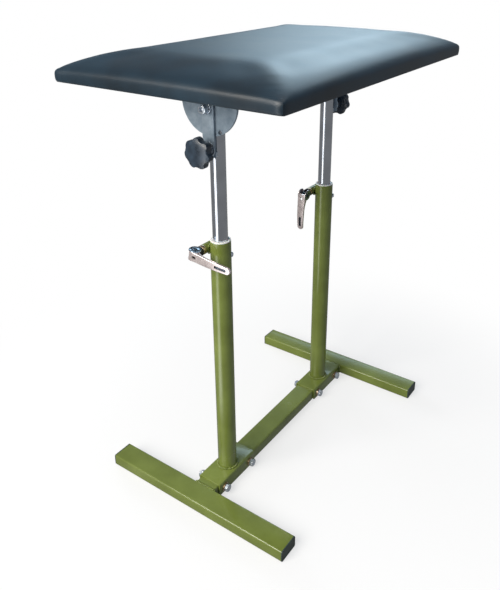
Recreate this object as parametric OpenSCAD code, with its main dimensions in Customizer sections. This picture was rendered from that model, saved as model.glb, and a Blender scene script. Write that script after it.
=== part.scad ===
/* [Base] */
// Length of each foot bar's tube
foot_l = 376; // [300:1:480]
// Width of the foot bar, stub and crossbar tube
foot_w = 40; // [34:0.5:50]
// Height of the foot bar, stub and crossbar tube
foot_h = 22; // [20:0.5:30]
// Wall of the rectangular tube
foot_wall = 2; // [1.5:0.1:2.4]
// Outer corner radius of the rectangular tube
foot_corner_r = 3; // [2.5:0.1:4]
// Distance between the centre lines of the two foot bars
foot_spacing = 500; // [470:1:620]
// Thickness of the flange of a foot end cap
cap_t = 2; // [1:0.1:3]
// Length of the plug of a foot end cap
cap_plug_l = 12; // [8:0.5:20]
// Wall of the plug of a foot end cap
cap_wall = 1.6; // [1:0.1:2.5]
// Gap between the end of a stub and the end of the crossbar
butt_gap = 1; // [0.5:0.1:3]

/* [Saddles] */
// Length of a saddle along the crossbar
saddle_l = 106; // [98:1:130]
// Sheet thickness of a saddle
saddle_wall = 3; // [2:0.1:4]
// Gap between a saddle's side and the tube inside it
saddle_fit = 0.5; // [0.2:0.1:1]
// Outer bend radius of a saddle
saddle_bend_r = 4; // [3:0.1:5]
// Height of the lower edge of a saddle above the floor
saddle_lift = 1; // [0.5:0.1:4]
// Distance from the column axis to each cross bolt
saddle_bolt_offset = 38; // [32:0.5:44]

/* [Columns] */
// Distance between the two columns
column_spacing = 330; // [300:1:345]
// Outer diameter of an upright tube
upright_d = 34; // [33:0.5:38]
// Wall of an upright tube
upright_wall = 2; // [1.5:0.1:2.5]
// Height of the top end of an upright tube
upright_top = 478; // [420:1:520]
// Size of the weld bead at the foot of an upright tube
upright_weld = 3; // [1.5:0.1:4]
// Outer diameter of a mast
mast_d = 24.5; // [23:0.5:26]
// Wall of a mast
mast_wall = 1.5; // [1.2:0.1:2.5]
// Length of a mast
mast_l = 428; // [400:1:470]
// Rim of a bush above the upright tube
bush_rim_t = 2; // [1:0.1:4]
// Distance from the top of the upright tube down to the bush's retaining screw
bush_screw_drop = 24; // [12:0.5:30]
// Angle of the retaining screw from the X axis
bush_screw_angle = 30; // [0:1:60]
// Thickness of the guide collar at the foot of a mast
guide_t = 8; // [5:0.5:20]
// Length of the guide plug inside a mast
guide_plug_l = 22; // [15:1:40]

/* [Height clamp] */
// Width of the slit in an upright tube
slit_w = 2.5; // [1.5:0.1:3.5]
// Length of the slit
slit_l = 50; // [42:1:70]
// Diameter of the hole at the lower end of the slit
slit_end_d = 5; // [4:0.5:8]
// Diameter of the binder boss
boss_d = 16; // [15:0.5:18]
// Length of the binder boss
boss_l = 29; // [22:0.5:32]
// Distance of the boss axis outside the tube surface
boss_out = 7; // [6:0.1:7.2]
// Distance of the boss axis below the top of the tube
boss_drop = 16.5; // [14:0.5:24]
// Diameter of the clamp stud
stud_d = 6; // [5:0.5:7]
// Length of the thrust ring beside the boss
thrust_l = 7.4; // [3:0.1:9]
// Thickness of the cup between ring and cam, at its thinnest
cup_t = 3.2; // [2.5:0.1:6]
// Depth by which the cup wraps round the cam
cup_wrap = 2; // [1:0.1:2.4]
// Radius of the round ears of the cam lever
ear_r = 10.2; // [9.5:0.1:11]
// Offset of the ears from the barrel, which makes the cam
cam_offset = 0.8; // [0.4:0.1:0.9]
// Diameter of the barrel that the lever turns on
barrel_d = 9; // [8:0.5:10]
// Length by which the barrel stands out of each ear
barrel_out = 0.6; // [0.2:0.1:1]
// Reach of the cam lever from its barrel to its tip
lever_l = 74; // [60:1:80]
// Width of the cam lever at its head
lever_head_w = 17; // [15:0.5:20]
// Width of the cam lever at its tip
lever_tip_w = 12.5; // [10:0.5:14]
// Sheet thickness of the cam lever
lever_t = 1.8; // [1.4:0.1:2.4]
// Depth of the lever's side walls beside its barrel
lever_root_h = 13; // [11:0.5:15]
// Depth of the lever's side walls along its arm
lever_wall_h = 3.6; // [2.8:0.1:6]
// Inward bend of the lever's tip
lever_bend = 4.6; // [2:0.1:7]
// Length of the slot in the lever's web
slot_l = 7.5; // [5:0.5:9]
// Width of the slot in the lever's web
slot_w = 4.5; // [3:0.5:6]
// Angle of the front lever below the horizontal
front_lever_angle = 8; // [0:1:60]
// Angle of the rear lever below the horizontal
rear_lever_angle = 94; // [60:1:100]
// Diameter of the adjusting nut of the stud
stud_nut_d = 16; // [12:0.5:18]
// Thickness of the adjusting nut of the stud
stud_nut_t = 9; // [6:0.5:14]

/* [Tilt hinge] */
// Distance from the pad's underside down to the tilt pivot
pivot_drop = 34; // [32:0.5:40]
// Height of the mast's top end above the pivot
mast_over = 14; // [12:0.5:16]
// Radius of a tilt disc
disc_r = 51; // [44:0.5:54]
// Height of the disc's centre above the pivot
disc_rise = 9; // [6:0.5:12]
// Plate thickness of a tilt disc
disc_t = 4; // [3:0.1:5]
// Depth of the flange that carries the pad
flange_depth = 50; // [46:1:60]
// Radius from the pivot to the small locating hole of a disc
index_r = 39; // [34:0.5:41]
// Diameter of the locating hole
index_d = 7; // [5:0.5:8]
// Angle of the locating hole from straight down
index_angle = 29; // [24:1:40]
// Width of a cheek plate
cheek_w = 22; // [20:0.5:24]
// Thickness of a cheek plate
cheek_t = 4; // [3:0.1:5]
// Distance from the pivot down to the knob screw
knob_drop = 61; // [57:0.5:66]
// Distance from the knob screw to the cheek's lower end
cheek_tail = 12; // [10:0.5:18]
// Diameter of the star knob over its lobes
knob_d = 48; // [44:1:52]
// Thickness of the star knob's lobes
knob_t = 10; // [8:0.5:13]
// Rise of the star knob's domed face
knob_dome = 5; // [3:0.5:8]
// Number of lobes of the star knob
knob_lobes = 7; // [5:1:8]
// Radius of one lobe
lobe_r = 6.5; // [5.5:0.1:7.5]
// Depth of the hollows between the lobes
lobe_depth = 3.5; // [2:0.1:5]
// Diameter of the hub behind the star knob
hub_d = 24; // [18:0.5:28]
// Length of the hub behind the star knob
hub_l = 10; // [5:0.5:14]
// Length of the steel collar behind the hub
collar_l = 5; // [3:0.1:9]
// Diameter of the steel collar
collar_d = 15; // [12:0.5:17]
// Height of the threaded insert in the mast
insert_l = 16; // [12:0.5:24]

/* [Pad] */
// Height of the pad's underside above the floor
pad_base = 727.5; // [715:0.5:790]
// Width of the pad, across the crossbar
pad_w = 400; // [340:1:460]
// Length of the pad, along the crossbar
pad_l = 586; // [560:1:660]
// Thickness of the pad at the rim of its flat top
pad_h = 40.5; // [36:0.5:60]
// Rise of the crown in the middle of the pad
pad_crown = 3.5; // [1:0.5:10]
// Height of the upright side of the pad at its corners
side_h = 18; // [16:0.5:22]
// Extra height of the upright side between the corners
side_bow = 5; // [0:0.5:8]
// Inward pull of the sides between the corners
side_pull = 0.8; // [0:0.1:4]
// Radius of the lower edge
edge_r = 2.5; // [2.2:0.1:4]
// Radius of the roll above the upright side
roll_r = 6; // [4:0.5:8]
// Width of the sloping border
border_w = 50; // [36:1:70]
// Plan radius of the corners
corner_r = 14; // [10:0.5:20]
// Thickness of the cover
cover_t = 1.5; // [1.2:0.1:3]
// Width of the cover's margin under the board
cover_lip = 30; // [22:1:50]
// Thickness of the plywood board
board_t = 12; // [9:0.5:14]

/* [Fasteners] */
// Diameter of the large bolts and screws
bolt_d = 8; // [7:0.1:8.5]
// Width across the flats of a large nut or bolt head
hex_af = 13; // [12:0.5:15]
// Thickness of a large hexagon head
hex_head_t = 5.3; // [4:0.1:7]
// Thickness of a plain nut
nut_t = 6.5; // [5:0.1:8]
// Thickness of a self-locking nut
lock_nut_t = 8; // [6.5:0.1:9]
// Outer diameter of a large washer
washer_d = 16; // [15:0.5:18]
// Thickness of a large washer
washer_t = 1.6; // [1:0.1:2]
// Thread that stands out past a nut
thread_out = 2; // [1:0.1:5]
// Head diameter of the socket screw at the pivot
socket_head_d = 13; // [12:0.5:15]
// Head height of the socket screw at the pivot
socket_head_t = 8; // [6:0.1:9]
// Hexagon socket of the pivot screw
socket_af = 6; // [5:0.5:8]
// Thickness of a spring washer
spring_washer_t = 2.1; // [1.5:0.1:3]
// Outer diameter of a spring washer
spring_washer_d = 14; // [13:0.5:16]
// Outer diameter of the washer under the knob
knob_washer_d = 24; // [20:0.5:26]
// Diameter of the small screws in the flanges
small_d = 5; // [4:0.5:6]
// Head diameter of the small screws in the flanges
small_head_d = 9.5; // [8:0.5:11]
// Head height of the small screws in the flanges
small_head_t = 3; // [2:0.1:4]
// Diameter of a tee nut's plate
tee_d = 18; // [15:0.5:20]
// Thickness of a tee nut's plate
tee_t = 1.2; // [0.8:0.1:1.6]
// Outer diameter of a tee nut's barrel
tee_barrel_d = 6.6; // [6.2:0.1:8]
// Length of a tee nut's barrel
tee_barrel_l = 8; // [5:0.5:8.5]
// Diameter of the retaining screw of a bush
bush_screw_d = 4; // [3:0.5:5]
// Head diameter of the retaining screw
bush_screw_head_d = 8; // [6:0.5:9]
// Head height of the retaining screw
bush_screw_head_t = 2.4; // [1.5:0.1:3]

/* [Fits] */
// Radial clearance of a running fit
run_fit = 0.05; // [0.02:0.01:0.1]
// Clearance between parts that pass each other
free_gap = 0.3; // [0.2:0.05:0.5]
// Clearance of a bolt in its hole, on the radius
hole_gap = 0.2; // [0.1:0.05:0.4]

/* [Hidden] */
$fn = 72;

// Overrun of every cut
cut = 1;

// Heights and places that follow from the sizes above
saddle_in_w = foot_w + 2 * saddle_fit;
saddle_out_w = saddle_in_w + 2 * saddle_wall;
saddle_top = foot_h + saddle_wall;
bolt_z = foot_h / 2;
stub_end = foot_spacing / 2 - foot_w / 2;
upright_ir = upright_d / 2 - upright_wall;
bush_or = upright_ir - run_fit;
bush_ir = mast_d / 2 + run_fit;
bush_screw_z = upright_top - bush_screw_drop;
boss_x = upright_d / 2 + boss_out;
boss_z = upright_top - boss_drop;
cup_back = boss_l / 2 + thrust_l;
cup_seat_r = ear_r + free_gap + cam_offset;
barrel_y = cup_back + cup_t + cup_seat_r;
pivot_z = pad_base - pivot_drop;
mast_ir = mast_d / 2 - mast_wall;
mast_top = pivot_z + mast_over;
mast_foot = mast_top - mast_l;
disc_y = mast_d / 2 + free_gap;
cheek_y = disc_y + disc_t + free_gap;
cheek_face = cheek_y + cheek_t;
knob_z = pivot_z - knob_drop;
collar_y = cheek_face + washer_t + free_gap;
hub_y = collar_y + collar_l;
flange_t = disc_t;
board_lift = cover_t + run_fit;
board_z = pad_base + board_lift;
board_gap = max(edge_r, cover_t) + free_gap;

// Round cap of a screw head: sphere radius, as a share of the head's width
cap_sphere_share = 0.65;
// Depth of a hexagon socket, as a share of the head's height
socket_depth_share = 0.55;
// Place of the flange's screws across and along it, as shares of its sizes
flange_hole_x_share = 0.74;
flange_hole_y_share = 0.44;
flange_hole_x = disc_r * flange_hole_x_share;
flange_hole_y = [0, flange_depth * flange_hole_y_share];

// Places a piece at the front or rear column, with its outer side towards the end of the stand
module at_end(end) {
    translate([0, end * column_spacing / 2, 0])
        mirror([0, end > 0 ? 1 : 0, 0])
            children();
}

// Rectangle with round corners, centred
module round_rect(w, h, r) {
    square([w - 2 * r, h], center = true);
    square([w, h - 2 * r], center = true);
    for (sx = [-1, 1], sy = [-1, 1])
        translate([sx * (w / 2 - r), sy * (h / 2 - r)])
            circle(r);
}

// Cylinder along Y from y0 to y1
module rod_y(r, y0, y1) {
    translate([0, y0, 0])
        rotate([-90, 0, 0])
            cylinder(r = r, h = y1 - y0);
}

// Cylinder along X from x0 to x1
module rod_x(r, x0, x1) {
    translate([x0, 0, 0])
        rotate([0, 90, 0])
            cylinder(r = r, h = x1 - x0);
}

// Hexagonal prism along Y
module hex_y(af, y0, y1) {
    translate([0, y0, 0])
        rotate([-90, 0, 0])
            cylinder(r = af / sqrt(3), h = y1 - y0, $fn = 6);
}

// Hexagonal prism along X
module hex_x(af, x0, x1) {
    translate([x0, 0, 0])
        rotate([0, 90, 0])
            cylinder(r = af / sqrt(3), h = x1 - x0, $fn = 6);
}

// Washer along Y, of outer diameter d and bore radius r
module washer_y(d, r, y0, t) {
    difference() {
        rod_y(d / 2, y0, y0 + t);
        rod_y(r, y0 - cut, y0 + t + cut);
    }
}

// Washer along X, of outer diameter d and bore radius r
module washer_x(d, r, x0, t) {
    difference() {
        rod_x(d / 2, x0, x0 + t);
        rod_x(r, x0 - cut, x0 + t + cut);
    }
}

// Rectangular steel tube along X, standing on the floor
module box_tube(l) {
    translate([0, 0, foot_h / 2])
        rotate([90, 0, 90])
            linear_extrude(l, center = true)
                difference() {
                    round_rect(foot_w, foot_h, foot_corner_r);
                    round_rect(foot_w - 2 * foot_wall, foot_h - 2 * foot_wall,
                        foot_corner_r - foot_wall);
                }
}

module foot_bar(end) {
    color("olivedrab")
        translate([0, end * foot_spacing / 2, 0])
            box_tube(foot_l);
}

// Stub from the foot bar to the middle of the saddle, drilled for one cross bolt
module foot_stub(end) {
    stub_l = stub_end - column_spacing / 2 - butt_gap / 2;
    color("olivedrab")
        difference() {
            translate([0, end * (stub_end - stub_l / 2), 0])
                rotate([0, 0, 90])
                    box_tube(stub_l);
            translate([0, end * (column_spacing / 2 + saddle_bolt_offset), bolt_z])
                rod_x(bolt_d / 2 + hole_gap, -foot_w, foot_w);
        }
}

module foot_end_caps() {
    plug_w = foot_w - 2 * foot_wall - 2 * hole_gap;
    plug_h = foot_h - 2 * foot_wall - 2 * hole_gap;
    color("black")
        for (end = [-1, 1], side = [-1, 1])
            translate([side * foot_l / 2, end * foot_spacing / 2, foot_h / 2])
                mirror([side < 0 ? 1 : 0, 0, 0])
                    rotate([90, 0, 90]) {
                        linear_extrude(cap_t)
                            round_rect(foot_w, foot_h, foot_corner_r);
                        translate([0, 0, -cap_plug_l])
                            linear_extrude(cap_plug_l)
                                difference() {
                                    round_rect(plug_w, plug_h, foot_corner_r - foot_wall);
                                    square([plug_w - 2 * cap_wall, plug_h - 2 * cap_wall],
                                        center = true);
                                }
                    }
}

module crossbar() {
    color("olivedrab")
        difference() {
            rotate([0, 0, 90])
                box_tube(column_spacing - butt_gap);
            for (end = [-1, 1])
                translate([0, end * (column_spacing / 2 - saddle_bolt_offset), bolt_z])
                    rod_x(bolt_d / 2 + hole_gap, -foot_w, foot_w);
        }
}

// Folded channel, open side down, over the stub and the crossbar
module saddle(end) {
    side_l = saddle_top - saddle_lift;
    color("olivedrab")
        at_end(end)
            difference() {
                translate([0, saddle_l / 2, saddle_top])
                    rotate([90, 0, 0])
                        linear_extrude(saddle_l)
                            difference() {
                                union() {
                                    translate([0, -side_l / 2])
                                        round_rect(saddle_out_w, side_l, saddle_bend_r);
                                    translate([0, -side_l / 2 - saddle_bend_r / 2])
                                        square([saddle_out_w, side_l - saddle_bend_r],
                                            center = true);
                                }
                                translate([-saddle_in_w / 2, -side_l - cut])
                                    square([saddle_in_w, side_l + cut - saddle_wall]);
                            }
                for (step = [-1, 1])
                    translate([0, step * saddle_bolt_offset, bolt_z])
                        rod_x(bolt_d / 2 + hole_gap, -saddle_out_w, saddle_out_w);
            }
}

// Slit on the side of the binder boss, shared by tube and bush
module slit() {
    translate([-boss_x - boss_d, -slit_w / 2, upright_top - slit_l])
        cube([boss_x + boss_d, slit_w, slit_l + bush_rim_t + cut]);
}

// Hole for the bush's retaining screw, shared by tube and bush
module bush_screw_hole() {
    translate([0, 0, bush_screw_z])
        rotate([0, 0, bush_screw_angle])
            rod_x(bush_screw_d / 2 + hole_gap, 0, upright_d);
}

// Upright tube with its weld bead and the slit binder boss
module upright_tube(end) {
    color("olivedrab")
        translate([0, end * column_spacing / 2, 0])
            difference() {
                union() {
                    translate([0, 0, saddle_top])
                        cylinder(d = upright_d, h = upright_top - saddle_top);
                    translate([0, 0, saddle_top])
                        rotate_extrude()
                            polygon([[upright_ir, 0], [upright_d / 2 + upright_weld, 0],
                                [upright_d / 2, upright_weld], [upright_ir, upright_weld]]);
                    translate([-boss_x, 0, boss_z])
                        rod_y(boss_d / 2, -boss_l / 2, boss_l / 2);
                }
                translate([0, 0, saddle_top - cut])
                    cylinder(r = upright_ir, h = upright_top - saddle_top + 2 * cut);
                slit();
                translate([0, 0, upright_top - slit_l])
                    rod_x(slit_end_d / 2, -upright_d, 0);
                translate([-boss_x, 0, boss_z])
                    rod_y(stud_d / 2 + hole_gap, -boss_l, boss_l);
                bush_screw_hole();
            }
}

// Split plastic bush that guides and grips the mast
module bush(end) {
    color("white")
        translate([0, end * column_spacing / 2, 0])
            difference() {
                union() {
                    translate([0, 0, upright_top - slit_l])
                        cylinder(r = bush_or, h = slit_l);
                    translate([0, 0, upright_top])
                        cylinder(r = upright_d / 2 - free_gap, h = bush_rim_t);
                }
                translate([0, 0, upright_top - slit_l - cut])
                    cylinder(r = bush_ir, h = slit_l + bush_rim_t + 2 * cut);
                slit();
                bush_screw_hole();
            }
}

// Round headed screws that keep the bushes in their tubes
module bush_screws() {
    cap_r = bush_screw_head_d * cap_sphere_share;
    head_x = upright_d / 2;
    color("silver")
        for (end = [-1, 1])
            translate([0, end * column_spacing / 2, bush_screw_z])
                rotate([0, 0, bush_screw_angle])
                    difference() {
                        union() {
                            rod_x(bush_screw_d / 2, bush_ir + free_gap, head_x);
                            intersection() {
                                rod_x(bush_screw_head_d / 2, head_x, head_x + bush_screw_head_t);
                                translate([head_x + bush_screw_head_t - cap_r, 0, 0])
                                    sphere(cap_r);
                            }
                        }
                        hex_x(bush_screw_d / 2,
                            head_x + bush_screw_head_t * (1 - socket_depth_share), upright_d);
                    }
}

// Runs its children at each of the four cross bolts
module at_saddle_bolts() {
    for (end = [-1, 1], step = [-1, 1])
        translate([0, end * column_spacing / 2 + step * saddle_bolt_offset, bolt_z])
            children();
}

module saddle_bolts() {
    head_x = saddle_out_w / 2 + washer_t + spring_washer_t;
    nut_x = saddle_out_w / 2 + washer_t;
    cap_r = hex_af * cap_sphere_share;
    color("silver")
        at_saddle_bolts() {
            rod_x(bolt_d / 2, -nut_x - lock_nut_t - thread_out, head_x);
            intersection() {
                hex_x(hex_af, head_x, head_x + hex_head_t);
                translate([head_x + hex_head_t - cap_r, 0, 0])
                    sphere(cap_r);
            }
        }
}

// Flat washers on both sides and a spring washer under each bolt head
module saddle_washers() {
    seat = saddle_out_w / 2;
    color("lightgray")
        at_saddle_bolts() {
            washer_x(washer_d, bolt_d / 2 + run_fit, -seat - washer_t, washer_t);
            washer_x(washer_d, bolt_d / 2 + run_fit, seat, washer_t);
            washer_x(spring_washer_d, bolt_d / 2 + run_fit, seat + washer_t, spring_washer_t);
        }
}

// Self-locking nuts, each a hexagon with a round collar at its end
module saddle_nuts() {
    seat = saddle_out_w / 2 + washer_t;
    collar_share = 0.2;
    color("silver")
        at_saddle_bolts()
            difference() {
                union() {
                    hex_x(hex_af, -seat - lock_nut_t * (1 - collar_share), -seat);
                    rod_x(hex_af / 2 - hole_gap, -seat - lock_nut_t, -seat);
                }
                rod_x(bolt_d / 2 + run_fit, -seat - 2 * lock_nut_t, 0);
            }
}

// Places a clamp piece on the stud axis of a column, arm along X before it is turned
module at_clamp(end, turn) {
    translate([-boss_x, end * column_spacing / 2, boss_z])
        rotate([0, turn, 0])
            children();
}

module thrust_rings() {
    color("tan")
        for (end = [-1, 1])
            at_clamp(end, 0)
                washer_y(boss_d, stud_d / 2 + hole_gap, -cup_back, thrust_l);
}

// Cup with a hollow seat for the round ears of the lever
module clamp_cup(end, turn) {
    color("black")
        at_clamp(end, turn)
            difference() {
                rod_y(boss_d / 2, -cup_back - cup_t - cup_wrap, -cup_back - free_gap);
                rod_y(stud_d / 2 + hole_gap, -barrel_y, 0);
                translate([0, -barrel_y, 0])
                    cylinder(r = cup_seat_r, h = 2 * boss_d, center = true);
            }
}

// Stud from inside the barrel to just past the adjusting nut
module clamp_stud(end, turn) {
    color("silver")
        at_clamp(end, turn)
            rod_y(stud_d / 2, -barrel_y - barrel_d / 4, boss_l / 2 + stud_nut_t + thread_out);
}

module cam_barrel(end, turn) {
    color("dimgray")
        at_clamp(end, turn)
            difference() {
                translate([0, -barrel_y, 0])
                    cylinder(d = barrel_d, h = lever_head_w + 2 * barrel_out, center = true);
                rod_y(stud_d / 2 + run_fit, -barrel_y - barrel_d / 4, 0);
            }
}

// Round nut with a hexagon outside, on the far end of the stud
module stud_nut(end, turn) {
    flange_share = 0.35;
    seat = boss_l / 2 + free_gap;
    color("silver")
        at_clamp(end, turn)
            difference() {
                union() {
                    rod_y(stud_nut_d / 2, seat, seat + stud_nut_t * flange_share);
                    hex_y(hex_af, seat, boss_l / 2 + stud_nut_t);
                }
                rod_y(stud_d / 2 + run_fit, 0, boss_l / 2 + 2 * stud_nut_t);
            }
}

// Where the lever's bend begins and where its walls have come down, as shares of its length
bend_from_share = 0.3;
wall_down_share = 0.4;
// Start, end and width of the long recess near the tip, as shares of length and tip width
recess_from_share = 0.62;
recess_to_share = 0.93;
recess_w_share = 0.4;
// Stations along the lever's arm
lever_n = 10;
lever_steps = [for (i = [0:lever_n]) lever_l * i / lever_n];

// Outer face of the lever's web at a distance x from the barrel
function web_y(x) = cam_offset - ear_r
    + lever_bend * pow(max(0, x / lever_l - bend_from_share) / (1 - bend_from_share), 2);

// Inner edge of the lever's side walls at a distance x from the barrel
function wall_y(x) = web_y(x) + lever_wall_h
    + (lever_root_h - lever_wall_h) * pow(max(0, 1 - x / lever_l / wall_down_share), 2);

// Side view of the lever: round ear and tapering arm
module lever_side() {
    translate([0, cam_offset])
        circle(ear_r);
    polygon(concat([for (x = lever_steps) [x, web_y(x)]],
        [for (i = [lever_n:-1:0]) [lever_steps[i], wall_y(lever_steps[i])]]));
}

// Plan of the lever with its round tip, drawn in by a wall all round
module lever_plan(wall) {
    tip_r = lever_tip_w / 2;
    tip_x = lever_l - tip_r;
    head = lever_head_w / 2 - wall;
    turn_step = 15;
    polygon(concat([[-2 * ear_r, head], [0, head]],
        [for (a = [90:-turn_step:-90]) [tip_x + (tip_r - wall) * cos(a), (tip_r - wall) * sin(a)]],
        [[0, -head], [-2 * ear_r, -head]]));
}

// Plan of the lever through its whole depth
module lever_column(wall) {
    translate([0, 2 * ear_r, 0])
        rotate([90, 0, 0])
            linear_extrude(4 * ear_r)
                lever_plan(wall);
}

// Pressed lever: two ears on the barrel, a web outside and walls that taper to the tip
module cam_lever(end, turn) {
    web_end = -ear_r / 2;
    slot_x = slot_w / 2;
    recess_steps = [for (t = [recess_from_share:1 / lever_n / 2:recess_to_share]) lever_l * t];
    color("gainsboro")
        at_clamp(end, turn)
            translate([0, -barrel_y, 0])
                difference() {
                    intersection() {
                        linear_extrude(lever_head_w, center = true)
                            lever_side();
                        lever_column(0);
                    }
                    intersection() {
                        linear_extrude(lever_head_w, center = true)
                            polygon(concat([[-2 * ear_r, -2 * ear_r], [web_end, -2 * ear_r]],
                                [[web_end, web_y(0) + lever_t]],
                                [for (x = lever_steps) [x, web_y(x) + lever_t]],
                                [[lever_l, 2 * ear_r], [-2 * ear_r, 2 * ear_r]]));
                        lever_column(lever_t);
                    }
                    cylinder(r = barrel_d / 2 + run_fit, h = 2 * lever_head_w, center = true);
                    translate([slot_x, -2 * ear_r, -slot_w / 2])
                        cube([slot_l, 2 * ear_r, slot_w]);
                    linear_extrude(lever_tip_w * recess_w_share, center = true)
                        polygon(concat([for (x = recess_steps) [x, web_y(x) - lever_t]],
                            [for (i = [len(recess_steps) - 1:-1:0])
                                [recess_steps[i], web_y(recess_steps[i]) + 2 * lever_t]]));
                }
}

// Bright inner tube, drilled through for the pivot screw and on its outer side for the knob screw
module mast(end) {
    color("silver")
        at_end(end)
            difference() {
                translate([0, 0, mast_foot])
                    cylinder(d = mast_d, h = mast_l);
                translate([0, 0, mast_foot - cut])
                    cylinder(r = mast_ir, h = mast_l + 2 * cut);
                translate([0, 0, pivot_z])
                    rod_y(bolt_d / 2 + hole_gap, -mast_d, mast_d);
                translate([0, 0, knob_z])
                    rod_y(bolt_d / 2 + hole_gap, -mast_d, 0);
            }
}

// Plastic collar that guides the foot of the mast inside the upright tube
module guide_plug(end) {
    color("black")
        at_end(end) {
            translate([0, 0, mast_foot - guide_t])
                cylinder(r = upright_ir - free_gap, h = guide_t);
            translate([0, 0, mast_foot])
                cylinder(r = mast_ir - run_fit, h = guide_plug_l);
        }
}

// Strap outside the disc, with a foot that is welded to the mast
module cheek_plate(end) {
    tail_z = knob_z - cheek_tail;
    foot_half = mast_d / 4;
    color("gray")
        at_end(end)
            difference() {
                union() {
                    translate([0, -cheek_y, pivot_z])
                        rotate([90, 0, 0])
                            cylinder(d = cheek_w, h = cheek_t);
                    translate([-cheek_w / 2, -cheek_face, tail_z])
                        cube([cheek_w, cheek_t, pivot_z - tail_z]);
                    translate([-foot_half, -cheek_y - cheek_t / 2, tail_z])
                        cube([2 * foot_half, cheek_y, cheek_tail / 2]);
                }
                translate([0, 0, tail_z - cut])
                    cylinder(d = mast_d, h = mast_l);
                for (z = [pivot_z, knob_z])
                    translate([0, 0, z])
                        rod_y(bolt_d / 2 + hole_gap, -2 * cheek_face, 0);
            }
}

// Socket head screw that the disc tilts on, over two flat washers and a spring washer
module pivot_screw(end) {
    head_y = cheek_face + 2 * washer_t + spring_washer_t;
    top_y = head_y + socket_head_t;
    color("silver")
        at_end(end)
            translate([0, 0, pivot_z])
                difference() {
                    union() {
                        rod_y(bolt_d / 2, -head_y, mast_d / 2 + washer_t + nut_t + thread_out);
                        rod_y(socket_head_d / 2, -top_y, -head_y);
                    }
                    hex_y(socket_af, -top_y - cut, -top_y + socket_head_t * socket_depth_share);
                }
}

module pivot_washers(end) {
    bore = bolt_d / 2 + run_fit;
    color("lightgray")
        at_end(end)
            translate([0, 0, pivot_z]) {
                for (i = [1, 2])
                    washer_y(washer_d, bore, -cheek_face - i * washer_t, washer_t);
                washer_y(spring_washer_d, bore, -cheek_face - 2 * washer_t - spring_washer_t,
                    spring_washer_t);
                washer_y(washer_d, bore, mast_d / 2, washer_t);
            }
}

module pivot_nut(end) {
    color("silver")
        at_end(end)
            translate([0, 0, pivot_z])
                difference() {
                    hex_y(hex_af, mast_d / 2 + washer_t, mast_d / 2 + washer_t + nut_t);
                    rod_y(bolt_d / 2 + run_fit, 0, mast_d + 2 * nut_t);
                }
}

// Slug inside the mast, tapped across for the knob screw
module knob_insert(end) {
    color("silver")
        at_end(end)
            translate([0, 0, knob_z])
                difference() {
                    cylinder(r = mast_ir - run_fit, h = insert_l, center = true);
                    rod_y(bolt_d / 2 + run_fit, -mast_d, mast_d);
                }
}

module knob_washer(end) {
    color("lightgray")
        at_end(end)
            translate([0, 0, knob_z])
                washer_y(knob_washer_d, bolt_d / 2 + hole_gap, -cheek_face - washer_t, washer_t);
}

// Star knob with round lobes, a domed face, a hub and a blind bore for the screw
module star_knob(end) {
    knob_r = knob_d / 2;
    rim_r = knob_t / 5;
    dome_step = 15;
    face_y = hub_l + knob_t;
    bore_share = 0.6;
    color("black")
        at_end(end)
            translate([0, -hub_y, knob_z])
                rotate([90, 0, 0])
                    difference() {
                        union() {
                            cylinder(d = hub_d, h = hub_l);
                            intersection() {
                                rotate_extrude()
                                    polygon(concat([[0, hub_l], [knob_r - rim_r, hub_l],
                                            [knob_r, hub_l + rim_r], [knob_r, face_y - rim_r]],
                                        [for (a = [0:dome_step:90])
                                            [(knob_r - rim_r) * cos(a), face_y + knob_dome * sin(a)]]));
                                linear_extrude(face_y + knob_dome) {
                                    circle(knob_r - lobe_depth);
                                    for (i = [0:knob_lobes - 1])
                                        rotate(90 + 360 * i / knob_lobes)
                                            translate([knob_r - lobe_r, 0])
                                                circle(lobe_r);
                                }
                            }
                        }
                        translate([0, 0, -cut])
                            cylinder(r = bolt_d / 2 + run_fit, h = cut + face_y * bore_share);
                    }
}

// Screw of the star knob with its steel collar
module knob_screw(end) {
    tip_y = mast_ir - thread_out;
    color("silver")
        at_end(end)
            translate([0, 0, knob_z]) {
                rod_y(bolt_d / 2, -hub_y - (hub_l + knob_t) / 2, tip_y);
                rod_y(collar_d / 2, -hub_y, -collar_y);
            }
}

// Half round plate with the flange that is screwed under the pad
module tilt_disc(end, bore_gap) {
    top_z = pad_base - flange_t;
    color("gray")
        at_end(end)
            difference() {
                union() {
                    translate([0, -disc_y, pivot_z + disc_rise])
                        rotate([90, 0, 0])
                            cylinder(r = disc_r, h = disc_t, $fn = 144);
                    translate([-disc_r, -disc_y - disc_t, pivot_z + disc_rise])
                        cube([2 * disc_r, disc_t, pad_base - pivot_z - disc_rise]);
                    translate([-disc_r, -disc_y - disc_t, top_z])
                        cube([2 * disc_r, flange_depth, flange_t]);
                }
                translate([-disc_r - cut, -disc_y - disc_t - cut, pad_base])
                    cube([2 * disc_r + 2 * cut, disc_t + 2 * cut, disc_r]);
                translate([0, 0, pivot_z])
                    rod_y(bolt_d / 2 + bore_gap, -cheek_y - cut, -mast_d / 2 + cut);
                translate([index_r * sin(index_angle), 0, pivot_z - index_r * cos(index_angle)])
                    rod_y(index_d / 2, -cheek_y - cut, -mast_d / 2 + cut);
                for (side = [-1, 1], y = flange_hole_y)
                    translate([side * flange_hole_x, y, top_z - cut])
                        cylinder(r = small_d / 2 + hole_gap, h = flange_t + 2 * cut);
            }
}

// Runs its children at each flange screw, at the height of the pad's underside
module at_flange_screws() {
    for (end = [-1, 1])
        at_end(end)
            for (side = [-1, 1], y = flange_hole_y)
                translate([side * flange_hole_x, y, pad_base])
                    children();
}

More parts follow.
